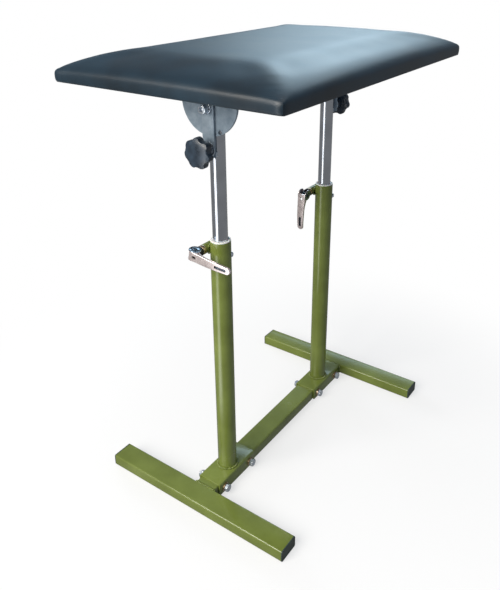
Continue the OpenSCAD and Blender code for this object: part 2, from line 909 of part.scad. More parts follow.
module flange_screws() {
    cap_r = small_head_d * cap_sphere_share;
    color("silver")
        at_flange_screws() {
            translate([0, 0, -flange_t])
                cylinder(d = small_d, h = flange_t + board_lift + board_t - tee_t);
            translate([0, 0, -flange_t - small_head_t])
                intersection() {
                    cylinder(d = small_head_d, h = small_head_t);
                    translate([0, 0, cap_r])
                        sphere(cap_r);
                }
        }
}

module tee_nuts() {
    color("silver")
        at_flange_screws()
            translate([0, 0, board_lift + board_t])
                difference() {
                    union() {
                        translate([0, 0, -tee_t])
                            cylinder(d = tee_d, h = tee_t);
                        translate([0, 0, -tee_barrel_l])
                            cylinder(d = tee_barrel_d, h = tee_barrel_l);
                    }
                    translate([0, 0, -board_t])
                        cylinder(r = small_d / 2 + run_fit, h = 2 * board_t);
                }
}

// Plywood board, drilled and counterbored for the tee nuts
module pad_board() {
    color("burlywood")
        difference() {
            translate([0, 0, board_z])
                linear_extrude(board_t)
                    round_rect(pad_w - 2 * board_gap - 2 * side_pull,
                        pad_l - 2 * board_gap - 2 * side_pull, corner_r);
            at_flange_screws()
                translate([0, 0, board_lift]) {
                    translate([0, 0, -cut])
                        cylinder(r = tee_barrel_d / 2 + hole_gap, h = board_t + 2 * cut);
                    translate([0, 0, board_t - tee_t])
                        cylinder(r = tee_d / 2 + hole_gap, h = tee_t + cut);
                }
        }
}

// Points per corner arc and per straight side of one ring of the pad
arc_n = 4;
side_n = 5;
// Steps of angle round the lower edge and up the roll, and where the roll gives way to the border
edge_step = 30;
roll_step = 30;
roll_end = 60;
roll_top = side_h + roll_r * (sin(roll_end) - 1 / 2);
roll_in = roll_r * (1 - cos(roll_end));
// Stations across the border and across the crown, as shares of each
border_shares = [0.25, 0.5, 0.75, 1];
crown_shares = [0.3, 0.6, 0.85];
// Largest corner radius of a ring, as a share of its half width
ring_round_share = 0.9;

// One ring of the pad: half sizes, corner radius, inward pull, height and bow of the sides
function pad_ring(hx, hy, r, pull, z, bow) = [
    for (q = [0:3])
        let (sx = q == 0 || q == 3 ? 1 : -1, sy = q < 2 ? 1 : -1)
            each concat(
                [for (i = [0:arc_n]) let (a = 90 * (q + i / arc_n))
                    [sx * (hx - r) + r * cos(a), sy * (hy - r) + r * sin(a), z]],
                [for (i = [1:side_n]) let (
                        t = i / (side_n + 1),
                        s = sin(180 * t),
                        run = 1 - 2 * t,
                        along_x = q == 0 || q == 2)
                    along_x
                        ? [sx * (hx - r) * run, sy * (hy - pull * s), z + bow * s]
                        : [sx * (hx - pull * s), sy * (hy - r) * run, z + bow * s]])];

// Outline of the pad's section: inset, height, direction of the outer face, share of the bow
pad_section = concat(
    [[cover_lip, 0, -90, 0]],
    [for (a = [-90:edge_step:0]) [edge_r * (1 - cos(a)), edge_r * (1 + sin(a)), a, 0]],
    [for (a = [0:roll_step:roll_end]) [
        roll_r * (1 - cos(a)),
        side_h + roll_r * (sin(a) - 1 / 2),
        a,
        1]],
    [for (t = border_shares) [
        roll_in + (border_w - roll_in) * t,
        roll_top + (pad_h - roll_top) * sin(90 * t),
        roll_end + (90 - roll_end) * t,
        1 - t]],
    [for (t = crown_shares) [
        border_w + (pad_w / 2 - border_w) * t,
        pad_h + pad_crown * (1 - pow(1 - t, 2)),
        90,
        0]]);

// Ring number i of the pad, drawn in by d square to its surface
function section_ring(i, d) = let (s = pad_section[i],
        inset = s[0] + d * cos(s[2]),
        fade = max(0, 1 - s[0] / border_w),
        round_r = corner_r * (1 + s[0] / border_w / 2) - d * cos(s[2]))
    pad_ring(pad_w / 2 - inset, pad_l / 2 - inset,
        max(min(round_r, (pad_w / 2 - inset) * ring_round_share), edge_r),
        side_pull * fade, pad_base + s[1] - d * sin(s[2]), side_bow * s[3]);

// Closed skin through a list of rings, with a point at each end
module ring_skin(rings, first, last) {
    n = len(rings[0]);
    m = len(rings);
    points = concat([first], [for (ring = rings) each ring], [last]);
    faces = concat(
        [for (j = [0:n - 1]) [0, 1 + j, 1 + (j + 1) % n]],
        [for (i = [0:m - 2], j = [0:n - 1]) let (a = 1 + i * n + j, b = 1 + i * n + (j + 1) % n)
            each [[a, a + n, b + n], [a, b + n, b]]],
        [for (j = [0:n - 1]) let (a = 1 + (m - 1) * n)
            [m * n + 1, a + (j + 1) % n, a + j]]);
    polyhedron(points, faces, convexity = 6);
}

// Foam between the board and the cover, from the first ring of the roll upwards
module pad_foam() {
    gap = cover_t + 2 * free_gap;
    foot = board_z + board_t + run_fit;
    first_ring = 2 + 90 / edge_step;
    rings = concat(
        [[for (p = section_ring(first_ring, gap)) [p[0], p[1], foot]]],
        [for (i = [first_ring:len(pad_section) - 1]) section_ring(i, gap)]);
    color("beige")
        ring_skin(rings, [0, 0, foot], [0, 0, pad_base + pad_h + pad_crown - gap]);
}

// Cover: a thin shell that wraps under the edge of the board
module pad_cover() {
    last = len(pad_section) - 1;
    top = pad_base + pad_h + pad_crown;
    color("darkslategray")
        ring_skin(concat(
                [for (i = [last:-1:0]) section_ring(i, cover_t)],
                [for (i = [0:last]) section_ring(i, 0)]),
            [0, 0, top - cover_t], [0, 0, top]);
}

// Cloth that closes the underside inside the cover's margin
module pad_dust_cloth() {
    margin = cover_lip + side_pull + free_gap;
    color("black")
        difference() {
            translate([0, 0, pad_base])
                linear_extrude(cover_t)
                    round_rect(pad_w - 2 * margin, pad_l - 2 * margin,
                        corner_r * (1 + cover_lip / border_w / 2));
            at_flange_screws()
                translate([0, 0, -cut])
                    cylinder(r = small_d / 2 + hole_gap, h = cover_t + 2 * cut);
        }
}

foot_bar(-1);  // front_foot_bar
foot_bar(1);  // rear_foot_bar
foot_stub(-1);  // front_foot_stub
foot_stub(1);  // rear_foot_stub
foot_end_caps();
crossbar();
saddle(-1);  // front_saddle
saddle(1);  // rear_saddle
upright_tube(-1);  // front_upright_tube
upright_tube(1);  // rear_upright_tube
bush(-1);  // front_bush
bush(1);  // rear_bush
bush_screws();
saddle_bolts();
saddle_washers();
saddle_nuts();
thrust_rings();
mast(-1);  // front_mast
mast(1);  // rear_mast
guide_plug(-1);  // front_guide_plug
guide_plug(1);  // rear_guide_plug
cheek_plate(-1);  // front_cheek_plate
cheek_plate(1);  // rear_cheek_plate
pivot_screw(-1);  // front_pivot_screw
pivot_screw(1);  // rear_pivot_screw
pivot_washers(-1);  // front_pivot_washers
pivot_washers(1);  // rear_pivot_washers
pivot_nut(-1);  // front_pivot_nut
pivot_nut(1);  // rear_pivot_nut
knob_insert(-1);  // front_knob_insert
knob_insert(1);  // rear_knob_insert
knob_washer(-1);  // front_knob_washer
knob_washer(1);  // rear_knob_washer
star_knob(-1);  // front_star_knob
star_knob(1);  // rear_star_knob
knob_screw(-1);  // front_knob_screw
knob_screw(1);  // rear_knob_screw
clamp_stud(-1, front_lever_angle);  // front_clamp_stud
clamp_stud(1, rear_lever_angle);  // rear_clamp_stud
cam_barrel(-1, front_lever_angle);  // front_cam_barrel
cam_barrel(1, rear_lever_angle);  // rear_cam_barrel
clamp_cup(-1, front_lever_angle);  // front_clamp_cup
clamp_cup(1, rear_lever_angle);  // rear_clamp_cup
stud_nut(-1, front_lever_angle);  // front_stud_nut
stud_nut(1, rear_lever_angle);  // rear_stud_nut
cam_lever(-1, front_lever_angle);  // front_cam_lever
cam_lever(1, rear_lever_angle);  // rear_cam_lever
tilt_disc(-1, run_fit);  // front_tilt_disc
tilt_disc(1, free_gap);  // rear_tilt_disc
flange_screws();
tee_nuts();
pad_board();
pad_foam();
pad_cover();
pad_dust_cloth();
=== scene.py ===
import math

import bmesh
import bpy
from mathutils import Matrix, Vector, bvhtree, noise


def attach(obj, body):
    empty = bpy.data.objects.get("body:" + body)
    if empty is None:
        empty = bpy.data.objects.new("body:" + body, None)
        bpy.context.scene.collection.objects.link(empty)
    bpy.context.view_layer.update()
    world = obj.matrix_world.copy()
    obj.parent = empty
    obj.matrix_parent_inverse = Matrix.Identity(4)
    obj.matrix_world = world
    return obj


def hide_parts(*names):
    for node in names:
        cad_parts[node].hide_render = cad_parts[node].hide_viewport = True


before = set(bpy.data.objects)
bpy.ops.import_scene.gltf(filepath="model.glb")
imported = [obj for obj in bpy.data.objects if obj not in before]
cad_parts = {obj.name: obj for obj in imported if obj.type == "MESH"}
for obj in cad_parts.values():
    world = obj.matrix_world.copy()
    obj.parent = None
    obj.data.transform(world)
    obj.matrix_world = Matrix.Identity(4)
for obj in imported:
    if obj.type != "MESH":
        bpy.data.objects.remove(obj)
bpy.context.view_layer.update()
mm = 0.001
ends = {"front": -1, "rear": 1}
print("frame loaded:", len(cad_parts), "nodes")


# Materials. Sizes of patterns are real millimetres, colours are sRGB hex.

def hexColor(code):
    parts = [int(code[i:i + 2], 16) / 255 for i in (0, 2, 4)]
    return [c / 12.92 if c <= 0.04045 else ((c + 0.055) / 1.055) ** 2.4 for c in parts] + [1.0]


def addNode(tree, kind, settings=None, links=None):
    node = tree.nodes.new(kind)
    for name, value in (settings or {}).items():
        setattr(node, name, value)
    for name, value in (links or {}).items():
        if isinstance(value, bpy.types.NodeSocket):
            tree.links.new(value, node.inputs[name])
        else:
            node.inputs[name].default_value = value
    return node


def compute(tree, operation, *values):
    return addNode(tree, "ShaderNodeMath", {"operation": operation}, dict(enumerate(values))).outputs[0]


def mapRange(tree, value, given, made, kind="LINEAR"):
    # given and made are the first and last value before and after
    return addNode(tree, "ShaderNodeMapRange", {"interpolation_type": kind},
                   {"Value": value, "From Min": given[0], "From Max": given[1],
                    "To Min": made[0], "To Max": made[1]}).outputs["Result"]


def clearTree(owner):
    # node tree of a material or world, emptied
    owner.use_nodes = True
    owner.node_tree.nodes.clear()
    return owner.node_tree


def addPattern(tree, coords, look):
    # noise, cells or bands of the given size, stretched where the look says so
    if "stretch" in look:
        coords = addNode(tree, "ShaderNodeMapping", None,
                         {"Vector": coords, "Scale": look["stretch"]}).outputs["Vector"]
    links = {"Vector": coords, "Scale": 1 / (look["size"] * mm)}
    if look.get("kind") == "cells":
        links["Randomness"] = look.get("random", 1.0)
        cells = addNode(tree, "ShaderNodeTexVoronoi", {"feature": look.get("feature", "F1")}, links)
        return cells.outputs["Distance"]
    if look.get("kind") == "bands":
        links["Distortion"] = 0.5
        return addNode(tree, "ShaderNodeTexWave", {"bands_direction": look["along"]}, links).outputs["Fac"]
    links["Detail"] = look.get("detail", 3.0)
    links["Roughness"] = look.get("rough", 0.5)
    return addNode(tree, "ShaderNodeTexNoise", None, links).outputs["Fac"]


def makeMaterial(name, tone, colors, rough, grains, shader):
    # tone spreads the colours and the roughness, grains are bumps laid over each other
    material = bpy.data.materials.new(name)
    tree = clearTree(material)
    coords = addNode(tree, "ShaderNodeTexCoord").outputs["Object"]
    spread = addPattern(tree, coords, tone)
    ramp = addNode(tree, "ShaderNodeValToRGB", None, {"Fac": spread})
    stops = ramp.color_ramp.elements
    while len(stops) < len(colors):
        stops.new(0.5)
    for stop, (place, code) in zip(stops, colors):
        stop.position = place
        stop.color = hexColor(code)
    links = {"Base Color": ramp.outputs["Color"], "Roughness": mapRange(tree, spread, (0.3, 0.7), rough)}
    for grain in grains:
        bump = {"Height": addPattern(tree, coords, grain), "Distance": grain["depth"] * mm,
                "Strength": grain.get("strength", 1.0)}
        if "Normal" in links:
            bump["Normal"] = links["Normal"]
        links["Normal"] = addNode(tree, "ShaderNodeBump", None, bump).outputs["Normal"]
    links.update(shader)
    surface = addNode(tree, "ShaderNodeBsdfPrincipled", None, links)
    addNode(tree, "ShaderNodeOutputMaterial", None, {"Surface": surface.outputs["BSDF"]})
    return material


# Olive powder coat on steel: even colour, wet highlights with a faint orange peel
coat = makeMaterial(
    "olive gloss powder coat", {"size": 60}, [(0.35, "677332"), (0.65, "76833e")], (0.2, 0.28),
    [{"size": 2.6, "depth": 0.035, "detail": 2.0}], {"IOR": 1.5, "Coat Weight": 0.35, "Coat Roughness": 0.08})

# Hard chromed tube: mirror streaks with polishing lines along it
chrome = makeMaterial(
    "hard chromed steel tube", {"size": 30}, [(0.3, "bfc4cc"), (0.7, "cdd2da")], (0.12, 0.2),
    [{"size": 0.5, "depth": 0.004, "detail": 2.0, "stretch": (1, 1, 0.01)}], {"Metallic": 1.0})

# Zinc plated sheet, passivated: dull grey with cloudy blotches and faint scratches
sheetZinc = makeMaterial(
    "passivated zinc plated sheet", {"size": 16, "detail": 5.0, "rough": 0.62},
    [(0.3, "738493"), (0.5, "8a9aa8"), (0.7, "a2b0bc")], (0.5, 0.34),
    [{"size": 0.9, "depth": 0.01, "detail": 2.0, "stretch": (1, 1, 0.06)}], {"Metallic": 0.15})

# Bright zinc on turned and headed fasteners: bluish and fairly shiny, duller in patches
zinc = makeMaterial(
    "bright zinc plated steel", {"size": 5, "detail": 4.0}, [(0.35, "b4c3d4"), (0.65, "f0f4f8")],
    (0.16, 0.3), [{"size": 0.7, "depth": 0.006}], {"Metallic": 0.75})

# Yellow chromate on zinc: tan with a straw and pinkish drift
tanZinc = makeMaterial(
    "yellow chromated zinc", {"size": 7}, [(0.35, "9c8468"), (0.5, "c7b394"), (0.7, "d9c3b4")], (0.22, 0.34),
    [{"size": 0.7, "depth": 0.006}], {"Metallic": 0.9})

# Decorative chrome on pressed sheet: satin silver with a pink tint painted in as painted reflection of warm
# surroundings, over slight press waves
leverChrome = makeMaterial(
    "chrome plated pressed steel", {"size": 9, "detail": 2.0}, [(0.3, "c9bcbb"), (0.7, "e2d6d4")],
    (0.2, 0.3), [{"size": 6, "depth": 0.05}], {"Metallic": 0.6})

# The same chrome on the lever's flat ears, its colour painted darker and bluer as painted reflection of the
# dark they face, nearly a mirror
shadedEarChrome = makeMaterial(
    "chrome plated ears", {"size": 5, "detail": 2.0}, [(0.3, "788592"), (0.7, "a3afba")], (0.2, 0.3),
    [{"size": 3, "depth": 0.03}], {"Metallic": 1.0})

# Black oxide on turned steel: dark blue grey with a thin oily shine
oxide = makeMaterial(
    "black oxide steel", {"size": 2}, [(0.3, "2a3138"), (0.7, "4d5a66")], (0.22, 0.36),
    [{"size": 0.6, "depth": 0.006}], {"Metallic": 0.85})

# Moulded acetal: dense black with a fine spark-eroded grain
acetal = makeMaterial(
    "black acetal", {"size": 12}, [(0.35, "101112"), (0.65, "1b1d1f")], (0.36, 0.46),
    [{"size": 0.7, "depth": 0.02, "detail": 4.0, "strength": 0.6}], {"IOR": 1.48})

# Moulded polyethylene: very dark green, waxy
capPlastic = makeMaterial(
    "dark green polyethylene", {"size": 12}, [(0.35, "2c3834"), (0.65, "3f4d46")], (0.4, 0.5),
    [{"size": 0.8, "depth": 0.02, "detail": 4.0, "strength": 0.6}], {"IOR": 1.51})

# Moulded phenolic: black, lifted to blue grey by painted highlights in its colour, with a hard gloss, dimmed
# by a shallow grain
phenolic = makeMaterial(
    "black phenolic", {"size": 12}, [(0.35, "1a2531"), (0.65, "2b3a49")], (0.26, 0.36),
    [{"size": 1.6, "depth": 0.02, "detail": 4.0, "strength": 0.6}], {"IOR": 1.6})

# Turned polyamide: white with a soft waxy edge and fine tool rings
nylon = makeMaterial(
    "white polyamide", {"size": 8}, [(0.3, "dfe0dd"), (0.7, "f3f3f0")], (0.38, 0.46),
    [{"size": 0.6, "depth": 0.01, "stretch": (0.1, 0.1, 1)}],
    {"IOR": 1.53, "Subsurface Weight": 0.08, "Subsurface Scale": 1.5 * mm})

# PU leather: pebbled grain drawn at 1.6 mm so that it shows, slate sheen, faint stretch waves
leatherSkin = makeMaterial(
    "black PU leather", {"size": 70, "detail": 4.0}, [(0.35, "0c1b25"), (0.65, "142a38")], (0.385, 0.425),
    [{"kind": "cells", "feature": "SMOOTH_F1", "size": 1.6, "depth": 0.08, "strength": 0.6},
     {"size": 6, "depth": 0.1, "strength": 0.5}],
    {"IOR": 1.5, "Sheen Weight": 0.12, "Sheen Roughness": 0.4, "Sheen Tint": hexColor("8fb4c8")})

# Spunbond lining: black fleece of bonded fibres with small press dots
lining = makeMaterial(
    "black spunbond lining", {"size": 0.8, "detail": 5.0, "rough": 0.7}, [(0.3, "121314"), (0.75, "2b2d2f")],
    (0.85, 0.95),
    [{"kind": "cells", "size": 2.2, "depth": 0.12, "random": 0.15},
     {"size": 0.8, "depth": 0.08, "detail": 5.0}],
    {"IOR": 1.4, "Sheen Weight": 0.2, "Sheen Roughness": 0.5})

# Birch plywood: pale face with long grain, ply lines as faint bands in height
plywood = makeMaterial(
    "birch plywood", {"size": 3, "detail": 4.0, "stretch": (1, 0.06, 1)}, [(0.3, "b08a5c"), (0.7, "d8b98a")],
    (0.55, 0.72), [{"kind": "bands", "along": "Z", "size": 9, "depth": 0.1}], {"IOR": 1.5})
print("materials made:", len(bpy.data.materials))


# Rows of points. Shapes are drawn in millimetres and scaled when the piece is made.

def polar(place, radius, angle, height):
    return place @ Vector((radius * math.cos(angle), radius * math.sin(angle), height))


def ring(place, radii, heights, count=72):
    # closed row about the place's own Z; radii and heights are one number or a list of them
    radii = radii if isinstance(radii, list) else [radii] * count
    heights = heights if isinstance(heights, list) else [heights] * len(radii)
    return [polar(place, r, 2 * math.pi * i / len(radii), h) for i, (r, h) in enumerate(zip(radii, heights))]


def hexRadii(flats, limit, count=72):
    # reach of a hexagon, its corners turned off at the limit
    sixth = math.pi / 6
    return [min(flats / 2 / math.cos((2 * math.pi * i / count + sixth) % (2 * sixth) - sixth), limit)
            for i in range(count)]


def roundPath(points, radius, steps=3, closed=False):
    # the path with its corners rounded
    points = [Vector(p) for p in points]
    count = len(points)
    made = []
    for i, point in enumerate(points):
        back, ahead = points[i - 1] - point, points[(i + 1) % count] - point
        if (not closed and i in (0, count - 1)) or back.angle(ahead, math.pi) > math.pi - 0.01:
            made.append(point)
            continue
        reach = min(radius / math.tan(back.angle(ahead) / 2), back.length * 0.48, ahead.length * 0.48)
        start, finish = point + back.normalized() * reach, point + ahead.normalized() * reach
        for step in range(steps + 1):
            t = step / steps
            made.append(start * (1 - t) ** 2 + point * 2 * t * (1 - t) + finish * t ** 2)
    return made


def roundRect(width, height, radius, steps=6):
    # counterclockwise outline of a rectangle with round corners
    outline = []
    for q, (sx, sy) in enumerate(((1, 1), (-1, 1), (-1, -1), (1, -1))):
        for k in range(steps + 1):
            a = math.pi / 2 * (q + k / steps)
            outline.append(Vector((sx * (width / 2 - radius) + radius * math.cos(a),
                                   sy * (height / 2 - radius) + radius * math.sin(a))))
    return outline


def inset(outline, depth):
    # the counterclockwise outline drawn in by a depth
    made = []
    for i, point in enumerate(outline):
        back, ahead = point - outline[i - 1], outline[(i + 1) % len(outline)] - point
        side = (Vector((-back.y, back.x)).normalized() + Vector((-ahead.y, ahead.x)).normalized())
        made.append(point + side * depth / max(side.length_squared / 2, 0.4))
    return made


# Bodies made of rows

def skin(bm, rows, loop=False, caps=(False, False)):
    made = [[bm.verts.new(point) for point in row] for row in rows]
    for low, high in list(zip(made, made[1:])) + ([(made[-1], made[0])] if loop else []):
        for i in range(len(low)):
            j = (i + 1) % len(low)
            bm.faces.new((low[i], low[j], high[j], high[i]))
    for row, wanted in zip((made[0], made[-1]), caps):
        if wanted:
            bm.faces.new(row)


def lofted(bm, place, stations, loop=False):
    # outlines stacked along the place's Z, each with its own inset and height
    caps = (not loop, not loop)
    skin(bm, [[place @ Vector((p.x, p.y, height)) for p in inset(outline, depth)]
              for outline, depth, height in stations], loop, caps)


def prism(bm, outline, low, high, place=Matrix(), edge=0.4):
    # outline drawn through a height, its rims rounded
    rims = [(edge, 0), (edge * 0.3, edge * 0.3), (0, edge)]
    lofted(bm, place, [(outline, depth, low + rise) for depth, rise in rims] +
           [(outline, depth, high - rise) for depth, rise in reversed(rims)])


def turned(bm, profile, place=Matrix(), count=72, loop=False):
    # profile of (radius, height) turned about the place's own Z
    skin(bm, [ring(place, max(r, 0.001), h, count) for r, h in profile], loop, (not loop, not loop))


def turnedRing(bm, inner, outer, low, high, place=Matrix(), edge=0.25, count=72):
    corners = [(inner, low), (outer, low), (outer, high), (inner, high)]
    turned(bm, roundPath(corners, edge, 3, True), place, count, True)


hexagon = {"corner": 0.585, "crown": 0.475, "chamfer": 0.07}    # shares of the width across flats


def hexBody(bm, place, flats, low, high, bore=0.0, chamfers=(True, True)):
    # hexagon with turned chamfers at its ends, bored or solid
    depth = flats * hexagon["chamfer"]
    stations = [(low + depth * k / 3, k / 3 if chamfers[0] else 1) for k in range(4)]
    stations += [(high - depth * k / 3, k / 3 if chamfers[1] else 1) for k in range(3, -1, -1)]
    grow = hexagon["corner"] - hexagon["crown"]
    rows = [ring(place, hexRadii(flats, flats * (hexagon["crown"] + grow * share)), height)
            for height, share in stations]
    sink = min(0.5, (high - low) / 4)
    if bore:
        rows += [ring(place, bore + sink, high), ring(place, bore, high - sink),
                 ring(place, bore, low + sink), ring(place, bore + sink, low)]
    skin(bm, rows, bool(bore), (not bore, not bore))


def forgedHead(bm, place, flats, low, high, dome):
    # forged hexagon head, turned and dished on top
    corner, crown = hexagon["corner"], hexagon["crown"]
    stations = [(corner - 0.025, low), (corner, low + 0.3), (corner, high - dome)]
    stations += [(corner - (corner - crown) * k / 4, high - dome * (1 - k / 4) ** 1.6) for k in range(1, 5)]
    rows = [ring(place, hexRadii(flats, flats * share), height) for share, height in stations]
    rows += [ring(place, flats * 0.36, high), ring(place, flats * 0.33, high - 0.35)]
    skin(bm, rows, caps=(True, True))


def socketHead(bm, place, rows, flats, top, depth, cone):
    # head whose last row turns into a hexagon socket with a lead-in and a drilled cone
    count = len(rows[0])
    rows = rows + [ring(place, hexRadii(flats + 0.5, flats * 2, count), top),
                   ring(place, hexRadii(flats, flats * 2, count), top - 0.3),
                   ring(place, hexRadii(flats, flats * 2, count), top - depth),
                   ring(place, 0.4, top - depth - cone, count)]
    skin(bm, rows, caps=(True, True))


def domedScrew(bm, place, look):
    # button head on a plain shank, seated at the place's origin
    r, (low, high) = look["radius"], look["side"]
    profile = [(look["shank"], -look["shankLength"]), (look["shank"], 0), (r - look["foot"], 0), (r, low)]
    for k in range(look["steps"]):
        a = math.radians(look["arc"] * k / look["steps"])
        profile.append((r * math.cos(a), high + look["dome"] * math.sin(a)))
    socketHead(bm, place, [ring(place, far, height) for far, height in profile],
               look["socket"], profile[-1][1], look["depth"], look["cone"])


thread = {"depth": 0.55, "cut": 0.9, "taper": 0.5, "rowsPerPitch": 6}    # depth as a share of the pitch


def threaded(bm, place, radius, low, high, pitch=1.25, count=40):
    # screw thread as a helical ripple, tapered at its free end
    depth = pitch * thread["depth"]
    steps = max(4, int((high - low) / (pitch / thread["rowsPerPitch"])))
    rows = []
    for k in range(steps + 1):
        height = low + (high - low) * k / steps
        taper = depth * thread["taper"] * (1 - min(1.0, (high - height) / pitch))
        waves = [abs(2 * ((height / pitch - i / count) % 1) - 1) for i in range(count)]
        rows.append(ring(place, [radius - depth * wave * thread["cut"] - taper for wave in waves], height))
    skin(bm, rows, caps=(True, True))


def splitRing(bm, place, inner, outer, low, thick, lift=0.5, count=64):
    # spring washer: a flat section wound once, its ends apart by a narrow gap
    rows = []
    for i in range(count + 1):
        a, rise = math.radians(6 + 348 * i / count), lift * (i / count - 0.5)
        rows.append([polar(place, r, a, h + rise) for r, h in
                     ((inner, low), (outer, low), (outer, low + thick), (inner, low + thick))])
    skin(bm, rows, caps=(True, True))


# Pieces

def shade(mesh, angle=35):
    mesh.polygons.foreach_set("use_smooth", [True] * len(mesh.polygons))
    mesh.set_sharp_from_angle(angle=math.radians(angle))


def addObject(name, bm):
    mesh = bpy.data.meshes.new(name)
    bm.to_mesh(mesh)
    bm.free()
    piece = bpy.data.objects.new(name, mesh)
    bpy.context.scene.collection.objects.link(piece)
    return piece


def newPiece(name, bm, material=None, angle=35):
    bmesh.ops.scale(bm, vec=(mm, mm, mm), verts=bm.verts)
    bmesh.ops.remove_doubles(bm, verts=bm.verts, dist=0.002 * mm)
    bmesh.ops.recalc_face_normals(bm, faces=bm.faces)
    piece = addObject(name, bm)
    shade(piece.data, angle)
    piece.data.materials.append(material)
    return piece


def pathPiece(name, paths, closed=False):
    # bare edges for a node tree to follow
    bm = bmesh.new()
    for path in paths:
        verts = [bm.verts.new(Vector(point) * mm) for point in path]
        for a, b in zip(verts, verts[1:] + (verts[:1] if closed else [])):
            bm.edges.new((a, b))
    return addObject(name, bm)


def applyModifiers(piece):
    bpy.context.view_layer.update()
    graph = bpy.context.evaluated_depsgraph_get()
    mesh = bpy.data.meshes.new_from_object(piece.evaluated_get(graph))
    piece.modifiers.clear()
    piece.data = mesh


def combine(piece, others, operation):
    for other in others:
        modifier = piece.modifiers.new(operation.lower(), "BOOLEAN")
        modifier.operation = operation
        modifier.solver = "EXACT"
        modifier.object = other
    applyModifiers(piece)
    for other in others:
        bpy.data.objects.remove(other)
    shade(piece.data)


def bar(name, place, radius, low, high):
    # plain cutter or filler rod for booleans
    bm = bmesh.new()
    turned(bm, [(radius, low), (radius, high)], place, 48)
    return newPiece(name, bm)


def block(name, low, high):
    # plain cutter box for booleans
    bm = bmesh.new()
    bmesh.ops.create_cube(bm, size=1)
    for vert in bm.verts:
        vert.co = Vector([low[k] + (high[k] - low[k]) * (vert.co[k] + 0.5) for k in range(3)])
    return newPiece(name, bm)


def settle(piece, body, slotName, *nodes):
    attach(piece, body)
    if nodes:
        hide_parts(*nodes)


def pointing(x, y, z, axis):
    # place whose own Z points along the axis
    direction = Vector(axis).normalized()
    return Matrix.Translation((x, y, z)) @ direction.to_track_quat("Z", "Y").to_matrix().to_4x4()


standing = Matrix(((1, 0, 0), (0, 0, 1), (0, 1, 0))).to_4x4()   # stands an outline up, its depth along Y


# Geometry Nodes trees: rows of equal parts, weld beads and staples along a path

def newTree(name, sockets):
    tree = bpy.data.node_groups.new(name, "GeometryNodeTree")
    tree.interface.new_socket("Geometry", in_out="INPUT", socket_type="NodeSocketGeometry")
    for label, (kind, value) in {**sockets, "Material": ("Material", None)}.items():
        socket = tree.interface.new_socket(label, in_out="INPUT", socket_type="NodeSocket" + kind)
        if value is not None:
            socket.default_value = value
    tree.interface.new_socket("Geometry", in_out="OUTPUT", socket_type="NodeSocketGeometry")
    return tree, addNode(tree, "NodeGroupInput").outputs


def endTree(tree, geometry, material):
    whole = addNode(tree, "GeometryNodeRealizeInstances", None, {"Geometry": geometry})
    painted = addNode(tree, "GeometryNodeSetMaterial", None,
                      {"Geometry": whole.outputs["Geometry"], "Material": material})
    addNode(tree, "NodeGroupOutput", None, {"Geometry": painted.outputs["Geometry"]})
    return tree


def dotsAlong(tree, given):
    # evenly spaced points along the piece's edges
    curve = addNode(tree, "GeometryNodeMeshToCurve", None, {"Mesh": given["Geometry"]})
    return addNode(tree, "GeometryNodeCurveToPoints", {"mode": "LENGTH"},
                   {"Curve": curve.outputs["Curve"], "Length": given["Spacing"]}).outputs


def rowsTree():
    levels = ("Layer", "Column", "Row")
    sockets = {}
    for level in levels:
        sockets[level + "s"] = ("Int", 1)
        sockets[level + " step"] = ("Vector", None)
    tree, given = newTree("rows of parts", sockets)
    geometry = given["Geometry"]
    for level in levels:
        line = addNode(tree, "GeometryNodeMeshLine", {"mode": "OFFSET"},
                       {"Count": given[level + "s"], "Offset": given[level + " step"]})
        geometry = addNode(tree, "GeometryNodeInstanceOnPoints", None,
                           {"Points": line.outputs["Mesh"], "Instance": geometry}).outputs["Instances"]
    return endTree(tree, geometry, given["Material"])


def beadTree():
    tree, given = newTree("weld bead along a path", {
        "Spacing": ("Float", 1.4 * mm), "Bead radius": ("Float", 1.5 * mm), "Flatness": ("Float", 0.75),
        "Smallest": ("Float", 0.88), "Largest": ("Float", 1.12), "Seed": ("Int", 3)})
    dots = dotsAlong(tree, given)
    drop = addNode(tree, "GeometryNodeMeshIcoSphere", None,
                   {"Radius": given["Bead radius"], "Subdivisions": 3})
    sizes = addNode(tree, "FunctionNodeRandomValue", {"data_type": "FLOAT"},
                    {2: given["Smallest"], 3: given["Largest"], "Seed": given["Seed"]})
    size = addNode(tree, "ShaderNodeCombineXYZ", None, {"X": 1.0, "Y": 1.0, "Z": given["Flatness"]})
    scaled = addNode(tree, "ShaderNodeVectorMath", {"operation": "SCALE"},
                     {"Vector": size.outputs["Vector"], "Scale": sizes.outputs[1]})
    beads = addNode(tree, "GeometryNodeInstanceOnPoints", None,
                    {"Points": dots["Points"], "Instance": drop.outputs["Mesh"],
                     "Rotation": dots["Rotation"], "Scale": scaled.outputs["Vector"]})
    return endTree(tree, beads.outputs["Instances"], given["Material"])


